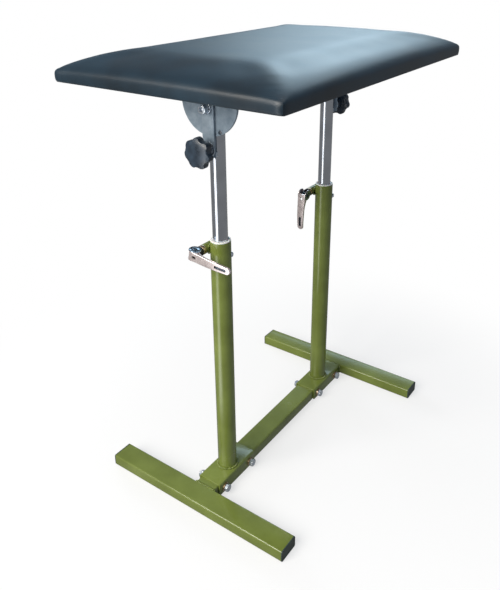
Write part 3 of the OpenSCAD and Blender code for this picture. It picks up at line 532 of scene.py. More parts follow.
def stapleTree():
    tree, given = newTree("staples along a path", {
        "Spacing": ("Float", 26 * mm), "Half crown": ("Vector", None), "Wire radius": ("Float", 0.45 * mm),
        "Tilt": ("Float", 0.2), "Seed": ("Int", 5)})
    dots = dotsAlong(tree, given)
    far = addNode(tree, "ShaderNodeVectorMath", {"operation": "SCALE"},
                  {"Vector": given["Half crown"], "Scale": -1.0})
    line = addNode(tree, "GeometryNodeCurvePrimitiveLine", None,
                   {"Start": far.outputs["Vector"], "End": given["Half crown"]})
    section = addNode(tree, "GeometryNodeCurvePrimitiveCircle", None,
                      {"Resolution": 8, "Radius": given["Wire radius"]})
    wire = addNode(tree, "GeometryNodeCurveToMesh", None,
                   {"Curve": line.outputs["Curve"], "Profile Curve": section.outputs["Curve"],
                    "Fill Caps": True})
    angle = addNode(tree, "FunctionNodeRandomValue", {"data_type": "FLOAT"},
                    {3: given["Tilt"], "Seed": given["Seed"]})
    twist = addNode(tree, "ShaderNodeCombineXYZ", None, {"Z": angle.outputs[1]})
    placed = addNode(tree, "GeometryNodeInstanceOnPoints", None,
                     {"Points": dots["Points"], "Instance": wire.outputs["Mesh"],
                      "Rotation": twist.outputs["Vector"]})
    return endTree(tree, placed.outputs["Instances"], given["Material"])


def growNodes(piece, tree, values):
    # runs a tree on a piece and keeps the plain mesh
    modifier = piece.modifiers.new(tree.name, "NODES")
    modifier.node_group = tree
    for item in tree.interface.items_tree:
        if item.in_out == "INPUT" and item.name in values:
            modifier[item.identifier] = values[item.name]
    applyModifiers(piece)
    shade(piece.data)
    return piece


rowsOfParts, weldBeads, staples = rowsTree(), beadTree(), stapleTree()


def weld(name, paths, bead, body, slotName, material, closed=False):
    # bead is spacing, radius and flatness
    piece = growNodes(pathPiece(name, paths, closed), weldBeads,
                      {"Spacing": bead[0] * mm, "Bead radius": bead[1] * mm, "Flatness": bead[2],
                       "Material": material})
    settle(piece, body, slotName)


print("helpers and node trees ready")


# Base: foot bars, stubs, crossbar, end caps and saddles
base = {"length": 376, "width": 40, "height": 22, "wall": 2, "corner": 3, "footY": 250, "columnY": 165,
        "stubEnd": 230, "buttGap": 1, "sawEdge": 0.24, "saddleLength": 106, "saddleWidth": 47,
        "saddleTop": 25, "saddleWall": 3, "saddleBend": 4, "saddleLift": 1, "saddleEdge": 0.4,
        "boltOffset": 38, "boltZ": 11}
endCap = {"flange": 2, "recess": 0.5, "plug": 12, "plugPlay": 0.2, "wall": 1.6, "lead": 0.3, "rim": 2.9}
stubWeld = {"out": 1.2, "lean": 0.4, "foot": 1.5, "side": 0.5, "under": 0.9, "corner": 3,
            "bead": (2.6, 2.2, 0.7)}


def tubeOutline(depth, corner):
    # outline of the rectangular tube, drawn in by a depth
    return roundRect(base["width"] - 2 * depth, base["height"] - 2 * depth, corner)


def tubeBar(name, axis, y, low, high, node):
    # rectangular tube along X or Y, its ends sawn and deburred
    if axis == "x":
        turn = Matrix(((0, 0, 1), (1, 0, 0), (0, 1, 0))).to_4x4()
    else:
        turn = Matrix(((-1, 0, 0), (0, 0, 1), (0, 1, 0))).to_4x4()
    outer, inner, e = tubeOutline(0, base["corner"]), tubeOutline(base["wall"], 1), base["sawEdge"]
    bm = bmesh.new()
    lofted(bm, Matrix.Translation((0, y, base["height"] / 2)) @ turn,
           [(outer, e, low), (outer, 0, low + e), (outer, 0, high - e), (outer, e, high),
            (inner, -e, high), (inner, 0, high - e), (inner, 0, low + e), (inner, -e, low)], loop=True)
    settle(newPiece(name, bm, coat), "stand", "green_enamel", node)


for end, side in ends.items():
    tubeBar(end + "FootBar", "x", side * base["footY"], -base["length"] / 2, base["length"] / 2,
            end + "_foot_bar")
    reach = sorted((side * base["stubEnd"], side * (base["columnY"] + base["buttGap"] / 2)))
    tubeBar(end + "FootStub", "y", 0, *reach, end + "_foot_stub")
    w, y = stubWeld, side * (base["stubEnd"] + stubWeld["out"])
    half, top = base["width"] / 2 + w["side"], base["height"] - w["under"]
    arch = [(-half, y - side * (w["out"] + w["lean"]), w["foot"]), (-half, y - side * w["out"], top),
            (half, y - side * w["out"], top), (half, y - side * (w["out"] + w["lean"]), w["foot"])]
    weld(end + "StubWeld", [roundPath(arch, w["corner"])], w["bead"], "stand", "green_enamel", coat)

half = base["columnY"] - base["buttGap"] / 2
tubeBar("crossbarTube", "y", 0, -half, half, "crossbar")

bm = bmesh.new()
c = endCap
flange = tubeOutline(0, base["corner"])
plug = tubeOutline(base["wall"] + c["plugPlay"], 1)
hollow = tubeOutline(base["wall"] + c["plugPlay"] + c["wall"], 1)
stations = [(hollow, 0, 0), (hollow, 0, -c["plug"]), (plug, c["lead"], -c["plug"]),
            (plug, 0, c["lead"] - c["plug"]), (plug, 0, 0), (flange, 0.1, 0), (flange, 0, 0.2),
            (flange, 0, c["flange"] - 0.7), (flange, 0.25, c["flange"] - 0.2), (flange, 0.8, c["flange"]),
            (flange, c["rim"] - 0.5, c["flange"]), (flange, c["rim"], c["flange"] - c["recess"])]
for side in ends.values():
    for far in (-1, 1):
        place = Matrix.Translation((far * base["length"] / 2, side * base["footY"], base["height"] / 2))
        lofted(bm, place @ Matrix(((0, 0, far), (far, 0, 0), (0, 1, 0))).to_4x4(), stations)
settle(newPiece("footEndCaps", bm, capPlastic), "stand", "black_plastic", "foot_end_caps")

for end, side in ends.items():
    w, b, t = base["saddleWidth"] / 2, base["saddleBend"], base["saddleWall"]
    top, foot = base["saddleTop"], base["saddleLift"]
    outside = roundPath([(-w, foot), (-w, top), (w, top), (w, foot)], b, 6)
    inside = roundPath([(w - t, foot), (w - t, top - t), (t - w, top - t), (t - w, foot)], b - t, 4)
    middle, half = side * base["columnY"], base["saddleLength"] / 2
    bm = bmesh.new()
    prism(bm, [Vector((-p.x, p.y)) for p in outside + inside], middle - half, middle + half, standing,
          base["saddleEdge"])
    settle(newPiece(end + "Saddle", bm, coat), "stand", "green_enamel", end + "_saddle")
print("base made")


# Uprights: tube with split boss, weld rings, bush and its screw, and the mast inside
upright = {"radius": 17, "wall": 2, "top": 478, "foot": 25, "bossX": -24, "bossZ": 461.5, "bossRadius": 8,
           "bossBore": 3.2, "bossHalf": 14.5, "slit": 2.5, "slitLength": 50, "slitHole": 2.5, "slitReach": 60,
           "footSeam": (0.9, 1.0), "footBead": (2.4, 2.3, 0.62), "bossSeam": (2.8, 5, 7.5, 10),
           "bossSeamOut": 2.6, "bossSeamUp": 5.6, "bossBead": (1.8, 2.0, 0.8)}
bush = {"length": 50, "rim": 2, "play": 0.05, "rimIn": 0.3, "edge": 0.6}
bushScrew = {"z": 454, "turn": 30, "sunk": 0.15, "radius": 4.2, "foot": 0.3, "side": (0.3, 0.9), "dome": 2.7,
             "arc": 70, "steps": 7, "shank": 2, "shankLength": 2, "socket": 2.0, "depth": 1.4, "cone": 0.3}
mast = {"radius": 12.25, "wall": 1.5, "foot": 279.5, "top": 707.5, "edge": 0.5}


def column(end):
    return Matrix.Translation((0, ends[end] * base["columnY"], 0))


def slitBlock(y, low, high):
    half = upright["slit"] / 2
    return block("slit", (-upright["slitReach"], y - half, low), (0, y + half, high))


for end, side in ends.items():
    u, y, foot = upright, side * base["columnY"], upright["top"] - upright["slitLength"]
    inside = u["radius"] - u["wall"]
    bm = bmesh.new()
    turnedRing(bm, inside, u["radius"], u["foot"], u["top"], column(end), 0.5, 96)
    tube = newPiece(end + "UprightTube", bm, coat)
    bm = bmesh.new()
    turnedRing(bm, u["bossBore"], u["bossRadius"], -u["bossHalf"], u["bossHalf"],
               pointing(u["bossX"], y, u["bossZ"], (0, 1, 0)), 0.9, 64)
    boss = newPiece("boss", bm, coat)
    combine(boss, [bar("core", column(end), inside, u["top"] - 60, u["top"] + 5)], "DIFFERENCE")
    combine(tube, [boss], "UNION")
    hole = bar("hole", pointing(0, y, foot, (-1, 0, 0)), u["slitHole"], 1, 40)
    combine(tube, [slitBlock(y, foot, u["top"] + 5), hole], "DIFFERENCE")
    settle(tube, "stand", "green_enamel", end + "_upright_tube")

    out, up = u["footSeam"]
    weld(end + "UprightWeld", [ring(column(end), u["radius"] + out, u["foot"] + up, 64)], u["footBead"],
         "stand", "green_enamel", coat, True)
    seams = [[(-math.sqrt(u["radius"] ** 2 - d * d) - u["bossSeamOut"], y + way * d, u["bossZ"] + rise)
              for d in u["bossSeam"]] for rise in (-u["bossSeamUp"], u["bossSeamUp"]) for way in (-1, 1)]
    weld(end + "BossWeld", seams, u["bossBead"], "stand", "green_enamel", coat)

    b, rim = bush, u["radius"] - bush["rimIn"]
    bore, outside = mast["radius"] + b["play"], inside - b["play"]
    outline = [(bore, u["top"] - b["length"]), (outside, u["top"] - b["length"]), (outside, u["top"]),
               (rim, u["top"]), (rim, u["top"] + b["rim"]), (bore, u["top"] + b["rim"])]
    bm = bmesh.new()
    turned(bm, roundPath(outline, b["edge"], 3, True), column(end), 96, True)
    sleeve = newPiece(end + "Bush", bm, nylon)
    combine(sleeve, [slitBlock(y, u["top"] - b["length"] - 5, u["top"] + 9)], "DIFFERENCE")
    settle(sleeve, "stand", "white_plastic", end + "_bush")

bm = bmesh.new()
turn = math.radians(bushScrew["turn"])
for side in ends.values():
    place = pointing(0, side * base["columnY"], bushScrew["z"], (math.cos(turn), math.sin(turn), 0))
    domedScrew(bm, place @ Matrix.Translation((0, 0, upright["radius"] - bushScrew["sunk"])), bushScrew)
settle(newPiece("bushScrews", bm, zinc), "stand", "zinc_plate", "bush_screws")

for end in ends:
    m = mast
    bm = bmesh.new()
    turnedRing(bm, m["radius"] - m["wall"], m["radius"], m["foot"], m["top"], column(end), m["edge"], 96)
    settle(newPiece(end + "MastTube", bm, chrome), end + "_column", "polished_steel", end + "_mast")
print("columns made")


# Saddle bolts, washers and lock nuts: one set, repeated by the rows tree
fixing = {"seat": 23.5, "washer": 8, "washerThick": 1.6, "springWasher": 7, "springThick": 2.1,
          "springWire": 0.85, "headThick": 5.3, "dome": 1.2, "flats": 13, "bolt": 4, "bore": 4.05,
          "nutThick": 8, "nutHex": 0.8, "collarFrom": 0.75, "collarBore": 4.6, "collarIn": 0.3,
          "threadOut": 2}
boltRows = {"Columns": 2, "Column step": (0, 2 * base["boltOffset"] * mm, 0),
            "Rows": 2, "Row step": (0, 2 * base["columnY"] * mm, 0)}

f = fixing
head, nut = f["seat"] + f["washerThick"] + f["springThick"], f["seat"] + f["washerThick"]
place, back = (pointing(0, -base["columnY"] - base["boltOffset"], base["boltZ"], (way, 0, 0))
               for way in (1, -1))
bolts, washers, nuts = bmesh.new(), bmesh.new(), bmesh.new()
forgedHead(bolts, place, f["flats"], head, head + f["headThick"], f["dome"])
turned(bolts, [(f["bolt"], head), (f["bolt"], -nut)], place, 32)
threaded(bolts, back, f["bolt"], nut + 2, nut + f["nutThick"] + f["threadOut"])
for spot in (place, back):
    turnedRing(washers, f["bore"], f["washer"], f["seat"], f["seat"] + f["washerThick"], spot, 0.35)
splitRing(washers, place, f["bore"], f["springWasher"], nut, f["springThick"] * f["springWire"])
hexBody(nuts, back, f["flats"], nut, nut + f["nutThick"] * f["nutHex"], f["bore"], (True, False))
turnedRing(nuts, f["collarBore"], f["flats"] / 2 - f["collarIn"], nut + f["nutThick"] * f["collarFrom"],
           nut + f["nutThick"], back, 0.6)
for name, bm, material, slotName in (("Bolts", bolts, zinc, "zinc_plate"),
                                     ("Washers", washers, tanZinc, "yellow_zinc"),
                                     ("Nuts", nuts, zinc, "zinc_plate")):
    row = growNodes(newPiece("saddle" + name, bm, material), rowsOfParts, {**boltRows, "Material": material})
    settle(row, "stand", slotName, "saddle_" + name.lower())
print("saddle fixings made")


# Height clamps: thrust ring, cup, stud, barrel, nut and cam lever on the boss of each upright
clamp = {"x": -24, "z": 461.5, "barrelY": 36.4, "barrel": 4.5, "barrelOut": 0.6, "ringSunk": 0.2,
         "cupBack": 21.9, "cupGap": 0.3, "cupThick": 3.2, "cupWrap": 2.0, "cupRadius": 8, "bore": 3.2,
         "seatRadius": 11.3, "stud": 3, "studEnd": 25.5, "nutSeat": 14.8, "nutFlange": 3.15, "nutEnd": 23.5,
         "nutRadius": 8, "nutFlats": 13, "nutBore": 3.1}
# back and the keys after it place a dark plate inside the arm: painted shade seen through the long slot
lever = {"length": 74, "headHalf": 8.5, "tipHalf": 6.25, "sheet": 1.8, "earRadius": 10.2, "offset": 0.8,
         "rootWall": 13, "armWall": 3.6, "wallDown": 0.4, "bend": 4.6, "bendFrom": 0.3, "fold": 1.7,
         "slots": ((2.25, 9.75, 2.25), (45.9, 67, 2.5)), "slotCorner": 1.6, "back": (42, 70.5),
         "shadePlateDeep": 2.6, "shadePlateThick": 0.9, "shadePlateIn": 0.8, "earThick": 1.8, "groove": (6.2, 6.6, 7.0, 7.4),
         "grooveDeep": 0.25, "flankHole": (12, -4.6, 1.5), "through": 12, "turns": {"front": 8, "rear": 94}}


def webY(x):
    rise = max(0, x / lever["length"] - lever["bendFrom"]) / (1 - lever["bendFrom"])
    return lever["offset"] - lever["earRadius"] + lever["bend"] * rise ** 2


def wallDepth(x):
    rise = max(0, 1 - x / lever["length"] / lever["wallDown"])
    return lever["armWall"] + (lever["rootWall"] - lever["armWall"]) * rise ** 2


def leverHalf(x):
    # half width of the lever in plan, with its round tip
    tipX = lever["length"] - lever["tipHalf"]
    if x > tipX:
        return math.sqrt(max(0, lever["tipHalf"] ** 2 - (x - tipX) ** 2))
    return lever["headHalf"] + (lever["tipHalf"] - lever["headHalf"]) * max(0, x) / tipX


def foldedSkin(point, side, web, deep, depth, radius):
    # one skin of the sheet: a quarter turn out of the web, then down the wall
    row = []
    for a in range(0, 91, 15):
        s, c = math.sin(math.radians(a)), math.cos(math.radians(a))
        row.append((point + side * (depth + radius - radius * s), web + depth + radius - radius * c))
    for share in (0.35, 0.7, 1.0):
        row.append((point + side * depth, web + depth + radius + (deep - depth - radius) * share))
    return row


def leverTray(bm, place):
    # one sheet: web with folded walls that run round the tip, drawn as outer and inner skins
    tip, tipX = lever["tipHalf"], lever["length"] - lever["tipHalf"]
    flank = [x for x in (lever["length"] * k / 40 for k in range(-2, 38)) if x < tipX]
    rim = [(x, leverHalf(x)) for x in flank]
    rim += [(tipX + tip * math.cos(a), tip * math.sin(a)) for a in map(math.radians, range(90, -91, -10))]
    rim = [Vector(p) for p in rim + [(x, -leverHalf(x)) for x in reversed(flank)]]
    fold, sheet = lever["fold"], lever["sheet"]
    made = []
    for i, point in enumerate(rim):
        along = (rim[min(i + 1, len(rim) - 1)] - rim[max(i - 1, 0)]).normalized()
        side = Vector((along.y, -along.x))
        web, deep = webY(max(0, point.x)), wallDepth(max(0, point.x))
        outer = foldedSkin(point, side, web, deep, 0, fold)
        inner = foldedSkin(point, side, web, deep, sheet, max(fold - sheet, 0.15))
        made.append([bm.verts.new(place @ Vector((p.x, h, p.y))) for p, h in outer + inner[::-1]])
    last = len(made[0]) - 1
    for low, high in zip(made, made[1:]):
        for k in range(last):
            bm.faces.new((low[k], low[k + 1], high[k + 1], high[k]))
    # the web joins the two flanks, outside and inside
    for k in range((len(made) - 1) // 2):
        a, b, c, d = made[k], made[-1 - k], made[k + 1], made[-2 - k]
        for edge in (0, last):
            bm.faces.new([a[edge], c[edge]] + ([d[edge]] if d is not c else []) + [b[edge]])
    bm.faces.new(made[0] + made[-1][::-1])


def leverShadePlate(bm, place):
    # dark plate put inside the arm as painted shade, seen through its long slot
    low, high = lever["back"]
    rows = []
    for k in range(13):
        x = low + (high - low) * k / 12
        near, wide = webY(x) + lever["shadePlateDeep"], leverHalf(x) - lever["shadePlateIn"]
        far = near + lever["shadePlateThick"]
        section = ((near, -wide), (near, wide), (far, wide), (far, -wide))
        rows.append([place @ Vector((x, y, z)) for y, z in section])
    skin(bm, rows, caps=(True, True))


def leverEars(bm, place):
    # round cheeks over the barrel's ends, each with a pressed ring groove
    r, face = lever["earRadius"], lever["headHalf"]
    back, deep = face - lever["earThick"], face - lever["grooveDeep"]
    a, b, c, d = lever["groove"]
    profile = [(0.01, back), (r - 0.4, back), (r, back + 0.4), (r, face - 0.5), (r - 0.5, face),
               (d, face), (c, deep), (b, deep), (a, face), (0.01, face)]
    middle = place @ Matrix.Translation((0, lever["offset"], 0))
    for flip in (math.pi, 0):
        turned(bm, profile, middle @ Matrix.Rotation(flip, 4, "X"), 72)


for end, side in ends.items():
    # local X along the lever's arm, -Y away from the stand, Z along the barrel
    c, through = clamp, lever["through"]
    spot = Matrix.Translation((c["x"], side * base["columnY"], c["z"]))
    place = spot @ Matrix.Rotation(math.radians(lever["turns"][end]), 4, "Y")
    outOfStand = Matrix.Rotation(math.pi / 2, 4, "X")   # its own Z looks along -Y
    inward = place @ pointing(0, 0, 0, (0, 1, 0))
    arm = place @ Matrix.Translation((0, -c["barrelY"], 0))

    bm = bmesh.new()
    turnedRing(bm, c["bore"], c["cupRadius"], c["nutSeat"] - c["ringSunk"], c["cupBack"], spot @ outOfStand,
               0.5)
    thrust = newPiece(end + "ThrustRing", bm, tanZinc)
    settle(thrust, "stand", "yellow_zinc", *(["thrust_rings"] if end == "front" else []))

    bm = bmesh.new()
    turnedRing(bm, c["bore"], c["cupRadius"], c["cupBack"] + c["cupGap"],
               c["cupBack"] + c["cupThick"] + c["cupWrap"], place @ outOfStand, 0.35)
    cup = newPiece(end + "ClampCup", bm, acetal)
    combine(cup, [bar("seat", arm, c["seatRadius"], -through, through)], "DIFFERENCE")
    settle(cup, end + "_clamp", "black_plastic", end + "_clamp_cup")

    bm = bmesh.new()
    turned(bm, [(c["stud"], c["nutSeat"] - 3), (c["stud"], 3 - c["barrelY"])], inward, 40)
    threaded(bm, inward, c["stud"], c["nutSeat"] - 4, c["studEnd"], 1.0)
    settle(newPiece(end + "ClampStud", bm, zinc), end + "_clamp", "zinc_plate", end + "_clamp_stud")

    bm = bmesh.new()
    r, reach = c["barrel"] - 0.05, lever["headHalf"] + c["barrelOut"]
    half = [(r, reach - 0.5), (r - 0.55, reach), (1.4, reach), (0.6, reach - 0.5)]
    turned(bm, [(far, -height) for far, height in reversed(half)] + half, arm, 48)
    settle(newPiece(end + "CamBarrel", bm, oxide), end + "_clamp", "black_plastic", end + "_cam_barrel")

    bm = bmesh.new()
    turnedRing(bm, c["nutBore"], c["nutRadius"], c["nutSeat"], c["nutSeat"] + c["nutFlange"], inward, 0.5)
    hexBody(bm, inward, c["nutFlats"], c["nutSeat"] + 2, c["nutEnd"], c["nutBore"], (False, True))
    settle(newPiece(end + "StudNut", bm, zinc), end + "_clamp", "zinc_plate", end + "_stud_nut")

    bm = bmesh.new()
    leverTray(bm, arm)
    tray = newPiece(end + "CamLever", bm, leverChrome)
    cutters = []
    for start, stop, half in lever["slots"]:
        bm = bmesh.new()
        middle = arm @ Matrix.Translation(((start + stop) / 2, 0, 0)) @ standing
        outline = roundRect(stop - start, 2 * half, min(half - 0.01, lever["slotCorner"]))
        prism(bm, outline, -lever["earRadius"] - 3, 1.5, middle, 0.01)
        cutters.append(newPiece("cutter", bm))
    combine(tray, cutters, "DIFFERENCE")
    # dark oxide plate under the long slot: painted shade inside the arm
    bm = bmesh.new()
    leverShadePlate(bm, arm)
    settle(newPiece(end + "LeverShadePlate", bm, oxide), end + "_lever", "lever_chrome")
    bm = bmesh.new()
    leverEars(bm, arm)
    combine(tray, [newPiece("ears", bm, leverChrome)], "UNION")
    x, y, r = lever["flankHole"]
    combine(tray, [bar("pin", arm, c["barrel"] + 0.02, -through, through),
                   bar("flankHole", arm @ Matrix.Translation((x, y, 0)), r, -through, through)], "DIFFERENCE")
    # the ears' flat faces take the darker chrome: painted shade on the ears
    tray.data.materials.append(shadedEarChrome)
    for face in tray.data.polygons:
        spot = arm.inverted() @ (face.center / mm)
        fromEar = math.hypot(spot.x, spot.y - lever["offset"])
        if abs(spot.z) > lever["headHalf"] - 0.7 and fromEar < lever["earRadius"]:
            face.material_index = 1
    settle(tray, end + "_lever", "lever_chrome", end + "_cam_lever")
print("height clamps made")


# Tilt hinge: discs with flange, cheek plates, pivot screws
hinge = {"pivotZ": 693.5, "washer": 1.6, "spring": 2.1, "washerRadius": 8, "springRadius": 7, "bore": 4.05,
         "springWire": 0.85, "springLift": 0.15, "headHeight": 8, "headRadius": 6.5, "socket": 6,
         "socketDepth": 4.4, "cone": 0.8, "knurl": 0.16, "screw": 4, "nut": 6.5, "nutFlats": 13,
         "threadOut": 2}
disc = {"z": 702.5, "radius": 51, "plate": 4, "y": 12.55, "underside": 727.5, "flange": 50, "bend": 4.5,
        "corner": 7, "indexRadius": 39, "indexHole": 3.5, "indexTurn": 29, "edge": 0.5, "columns": 24}
cheek = {"inside": 16.85, "face": 20.85, "half": 11, "tail": 620.5, "corner": 2.0, "edge": 0.7,
         "lugHalf": 6.1, "lug": (0.3, 6), "lugEdge": 0.5, "sideSeam": (6.8, -0.8, (0.6, 3, 6)),
         "footSeam": (5.5, 0.4, 0.1), "bead": (1.8, 1.9, 0.8)}


def outward(end, z, x=0, way=1):
    # place on a column's middle line, its own Z pointing away from the stand
    return pointing(x, ends[end] * base["columnY"], z, (0, way * ends[end], 0))


def facing(end, z):
    # the same line with X as the stand's, Y pointing away from the stand and Z up
    return Matrix.Translation((0, ends[end] * base["columnY"], z)) @ Matrix.Diagonal((1, ends[end], 1, 1))


def discSheet(bm, end):
    # one bent plate: round below, straight up to the bend, then the flange inward
    d, quarter = disc, [math.radians(15 * k) for k in range(1, 7)]
    top, r, t, face = d["underside"] - d["z"], d["radius"], d["plate"], d["y"] + d["plate"]
    straight, inner, far = top - d["bend"], face - d["bend"], face - d["flange"] + d["corner"]
    # half width, Y and Z of the outer face, and the angle it has turned by
    stations = []
    for k in range(25):
        a = math.radians(90 * k / 24)
        stations.append((max(r * math.sin(a), 1.2), face, -r * math.cos(a), 0.0))
    stations += [(r, face, straight * k / 3, 0.0) for k in (1, 2, 3)]
    stations += [(r, face - d["bend"] * (1 - math.cos(a)), straight + d["bend"] * math.sin(a), a)
                 for a in quarter]
    stations += [(r, inner + (far - inner) * k / 4, top, math.pi / 2) for k in range(1, 5)]
    stations += [(r - d["corner"] * (1 - math.cos(a)), far - d["corner"] * math.sin(a), top, math.pi / 2)
                 for a in quarter]
    place, rows = facing(end, d["z"]), []
    for half, y, z, a in stations:
        across = [half * math.sin(math.pi / 2 * (2 * k / d["columns"] - 1)) for k in range(d["columns"] + 1)]
        outside = [(x, y, z) for x in across]
        inside = [(x, y - t * math.cos(a), z - t * math.sin(a)) for x in reversed(across)]
        rows.append([place @ Vector(p) for p in outside + inside])
    skin(bm, rows, caps=(True, True))


def softenEdges(piece, width, angle):
    bevel = piece.modifiers.new("edges", "BEVEL")
    bevel.width = width * mm
    bevel.segments = 2
    bevel.limit_method = "ANGLE"
    bevel.angle_limit = math.radians(angle)
    applyModifiers(piece)
    shade(piece.data, angle + 5)


for end in ends:
    h, d, c = hinge, disc, cheek
    bm = bmesh.new()
    discSheet(bm, end)
    plate = newPiece(end + "TiltDisc", bm, sheetZinc)
    a = math.radians(d["indexTurn"])
    index = outward(end, h["pivotZ"] - d["indexRadius"] * math.cos(a), d["indexRadius"] * math.sin(a))
    combine(plate, [bar("index", index, d["indexHole"], 5, 25)], "DIFFERENCE")
    softenEdges(plate, d["edge"], 50)
    settle(plate, "pad", "grey_plate", end + "_tilt_disc")

    bm = bmesh.new()
    w, tail = c["half"], c["tail"] - h["pivotZ"]
    arch = [(w * math.cos(math.radians(5 * k)), w * math.sin(math.radians(5 * k))) for k in range(37)]
    arch += roundPath([(-w, 0), (-w, tail), (w, tail), (w, 0)], c["corner"], 4)[1:-1]
    face = facing(end, h["pivotZ"]) @ standing
    prism(bm, [Vector(p) for p in arch], c["inside"], c["face"], face, c["edge"])
    half, (low, high) = c["lugHalf"], (tail + rise for rise in c["lug"])
    lug = [Vector(p) for p in ((half, low), (half, high), (-half, high), (-half, low))]
    prism(bm, lug, mast["radius"] - 1.0, c["inside"] + 1, face, c["lugEdge"])
    settle(newPiece(end + "CheekPlate", bm, sheetZinc), end + "_column", "grey_plate", end + "_cheek_plate")

    x, out, rises = c["sideSeam"]
    seams = [[face @ Vector((way * x, tail + rise, mast["radius"] + out)) for rise in rises]
             for way in (-1, 1)]
    x, out, rise = c["footSeam"]
    seams.append([face @ Vector((way * x, tail + rise, mast["radius"] + out)) for way in (-1, 0, 1)])
    weld(end + "CheekWeld", seams, c["bead"], end + "_column", "grey_plate", zinc)

    out, back = outward(end, h["pivotZ"]), outward(end, h["pivotZ"], way=-1)
    stack = c["face"] + 2 * h["washer"] + h["spring"]
    top, r = stack + h["headHeight"], h["headRadius"]
    ridged = [r, r - h["knurl"]] * 72
    rows = [ring(out, r - 0.4, stack, 144), ring(out, r, stack + 0.3, 144), ring(out, ridged, stack + 1.0),
            ring(out, ridged, top - 1.5), ring(out, r, top - 0.8, 144), ring(out, r - 0.3, top - 0.2, 144),
            ring(out, r - 0.9, top, 144)]
    bm = bmesh.new()
    socketHead(bm, out, rows, h["socket"], top, h["socketDepth"], h["cone"])
    turned(bm, [(h["screw"], stack), (h["screw"], -mast["radius"] - 1)], out, 40)
    nut = mast["radius"] + h["washer"]
    threaded(bm, back, h["screw"], mast["radius"] + 0.5, nut + h["nut"] + h["threadOut"])
    settle(newPiece(end + "PivotScrew", bm, zinc), end + "_column", "zinc_plate", end + "_pivot_screw")

    bm = bmesh.new()
    for spot, low in ((out, c["face"]), (out, c["face"] + h["washer"]), (back, mast["radius"])):
        turnedRing(bm, h["bore"], h["washerRadius"], low, low + h["washer"], spot, 0.35)
    splitRing(bm, out, h["bore"], h["springRadius"], c["face"] + 2 * h["washer"] + h["springLift"],
              h["spring"] * h["springWire"], 0.3)
    settle(newPiece(end + "PivotWashers", bm, zinc), end + "_column", "zinc_plate", end + "_pivot_washers")

    bm = bmesh.new()
    hexBody(bm, back, h["nutFlats"], nut, nut + h["nut"], h["bore"])
    settle(newPiece(end + "PivotNut", bm, zinc), end + "_column", "zinc_plate", end + "_pivot_nut")
print("hinges made")


# Star knobs
knob = {"z": 632.5, "radius": 24, "lobes": 7, "lobe": 6.5, "depth": 3.5, "edge": 1.8, "hub": 12,
        "hubLength": 10, "bore": 4.2, "thick": 10, "dome": 5, "crownIn": 2, "crownSoft": 0.6,
        "crownRings": (1, 0.93, 0.84, 0.72, 0.58, 0.42, 0.25, 0.1), "start": 27.75, "collarFrom": 22.75,
        "collar": 7.5, "washer": 12, "screw": 4, "screwEnds": (9, 23), "count": 168}


def lobeRadius(a):
    # reach of the star outline at an angle, its inner corners filled
    k, best = knob, knob["radius"] - knob["depth"]
    for i in range(k["lobes"]):
        turn = a - math.pi / 2 - 2 * math.pi * i / k["lobes"]
        middle = k["radius"] - k["lobe"]
        across = middle * math.sin(turn)
        if abs(across) < k["lobe"] and math.cos(turn) > 0:
            best = max(best, middle * math.cos(turn) + math.sqrt(k["lobe"] ** 2 - across ** 2))
    return best


def starRadii():
    count = knob["count"]
    raw = [lobeRadius(2 * math.pi * i / count) for i in range(count)]
    for _ in range(3):
        raw = [(raw[i - 1] + 2 * raw[i] + raw[(i + 1) % count]) / 4 for i in range(count)]
    return raw


def domeRise(far):
    crown = knob["radius"] - knob["crownIn"]
    return knob["dome"] * math.sqrt(max(0, 1 - (min(far, crown) / (crown + knob["crownSoft"])) ** 2))


def knobRows(place):
    # hub, underside, rounded lobes and domed face
    k, radii, e, count = knob, starRadii(), knob["edge"], knob["count"]
    low, face = k["start"] + k["hubLength"], k["start"] + k["hubLength"] + k["thick"]
    hub = k["hub"]
    rows = [ring(place, r, height, count) for r, height in
            ((k["bore"], k["start"]), (hub - 0.7, k["start"]), (hub, k["start"] + 0.7), (hub, low - 1.2),
             (hub + 0.4, low - 0.3), (hub + 1.4, low))]
    for turn in map(math.radians, (0, 30, 60, 90)):
        rows.append(ring(place, [r - e * (1 - math.sin(turn)) for r in radii],
                         low + e * (1 - math.cos(turn))))
    rows.append(ring(place, radii, low + k["thick"] / 2))
    for turn in map(math.radians, (90, 60, 30)):
        rows.append(ring(place, [r - e * (1 - math.sin(turn)) for r in radii],
                         [face + domeRise(r - e) - e * (1 - math.cos(turn)) for r in radii]))
    for share in k["crownRings"]:
        rows.append(ring(place, [(r - e) * share for r in radii],
                         [face + domeRise((r - e) * share) for r in radii]))
    return rows


for end in ends:
    k, out = knob, outward(end, knob["z"])
    bm = bmesh.new()
    skin(bm, knobRows(out), caps=(True, True))
    settle(newPiece(end + "StarKnob", bm, phenolic, 40), end + "_knob", "knob_plastic", end + "_star_knob")

    bm = bmesh.new()
    turned(bm, [(k["screw"], 12), (k["screw"], k["start"] + 6)], out, 40)
    near, far = k["screwEnds"]
    threaded(bm, outward(end, k["z"], way=-1), k["screw"], -far, -near)
    turnedRing(bm, 3, k["collar"], k["collarFrom"], k["start"] + 0.1, out, 0.5, 64)
    settle(newPiece(end + "KnobScrew", bm, zinc), end + "_knob", "zinc_plate", end + "_knob_screw")

    bm = bmesh.new()
    turnedRing(bm, k["bore"], k["washer"], cheek["face"], cheek["face"] + hinge["washer"], out, 0.4)
    settle(newPiece(end + "KnobWasher", bm, zinc), end + "_column", "zinc_plate", end + "_knob_washer")
print("star knobs made")

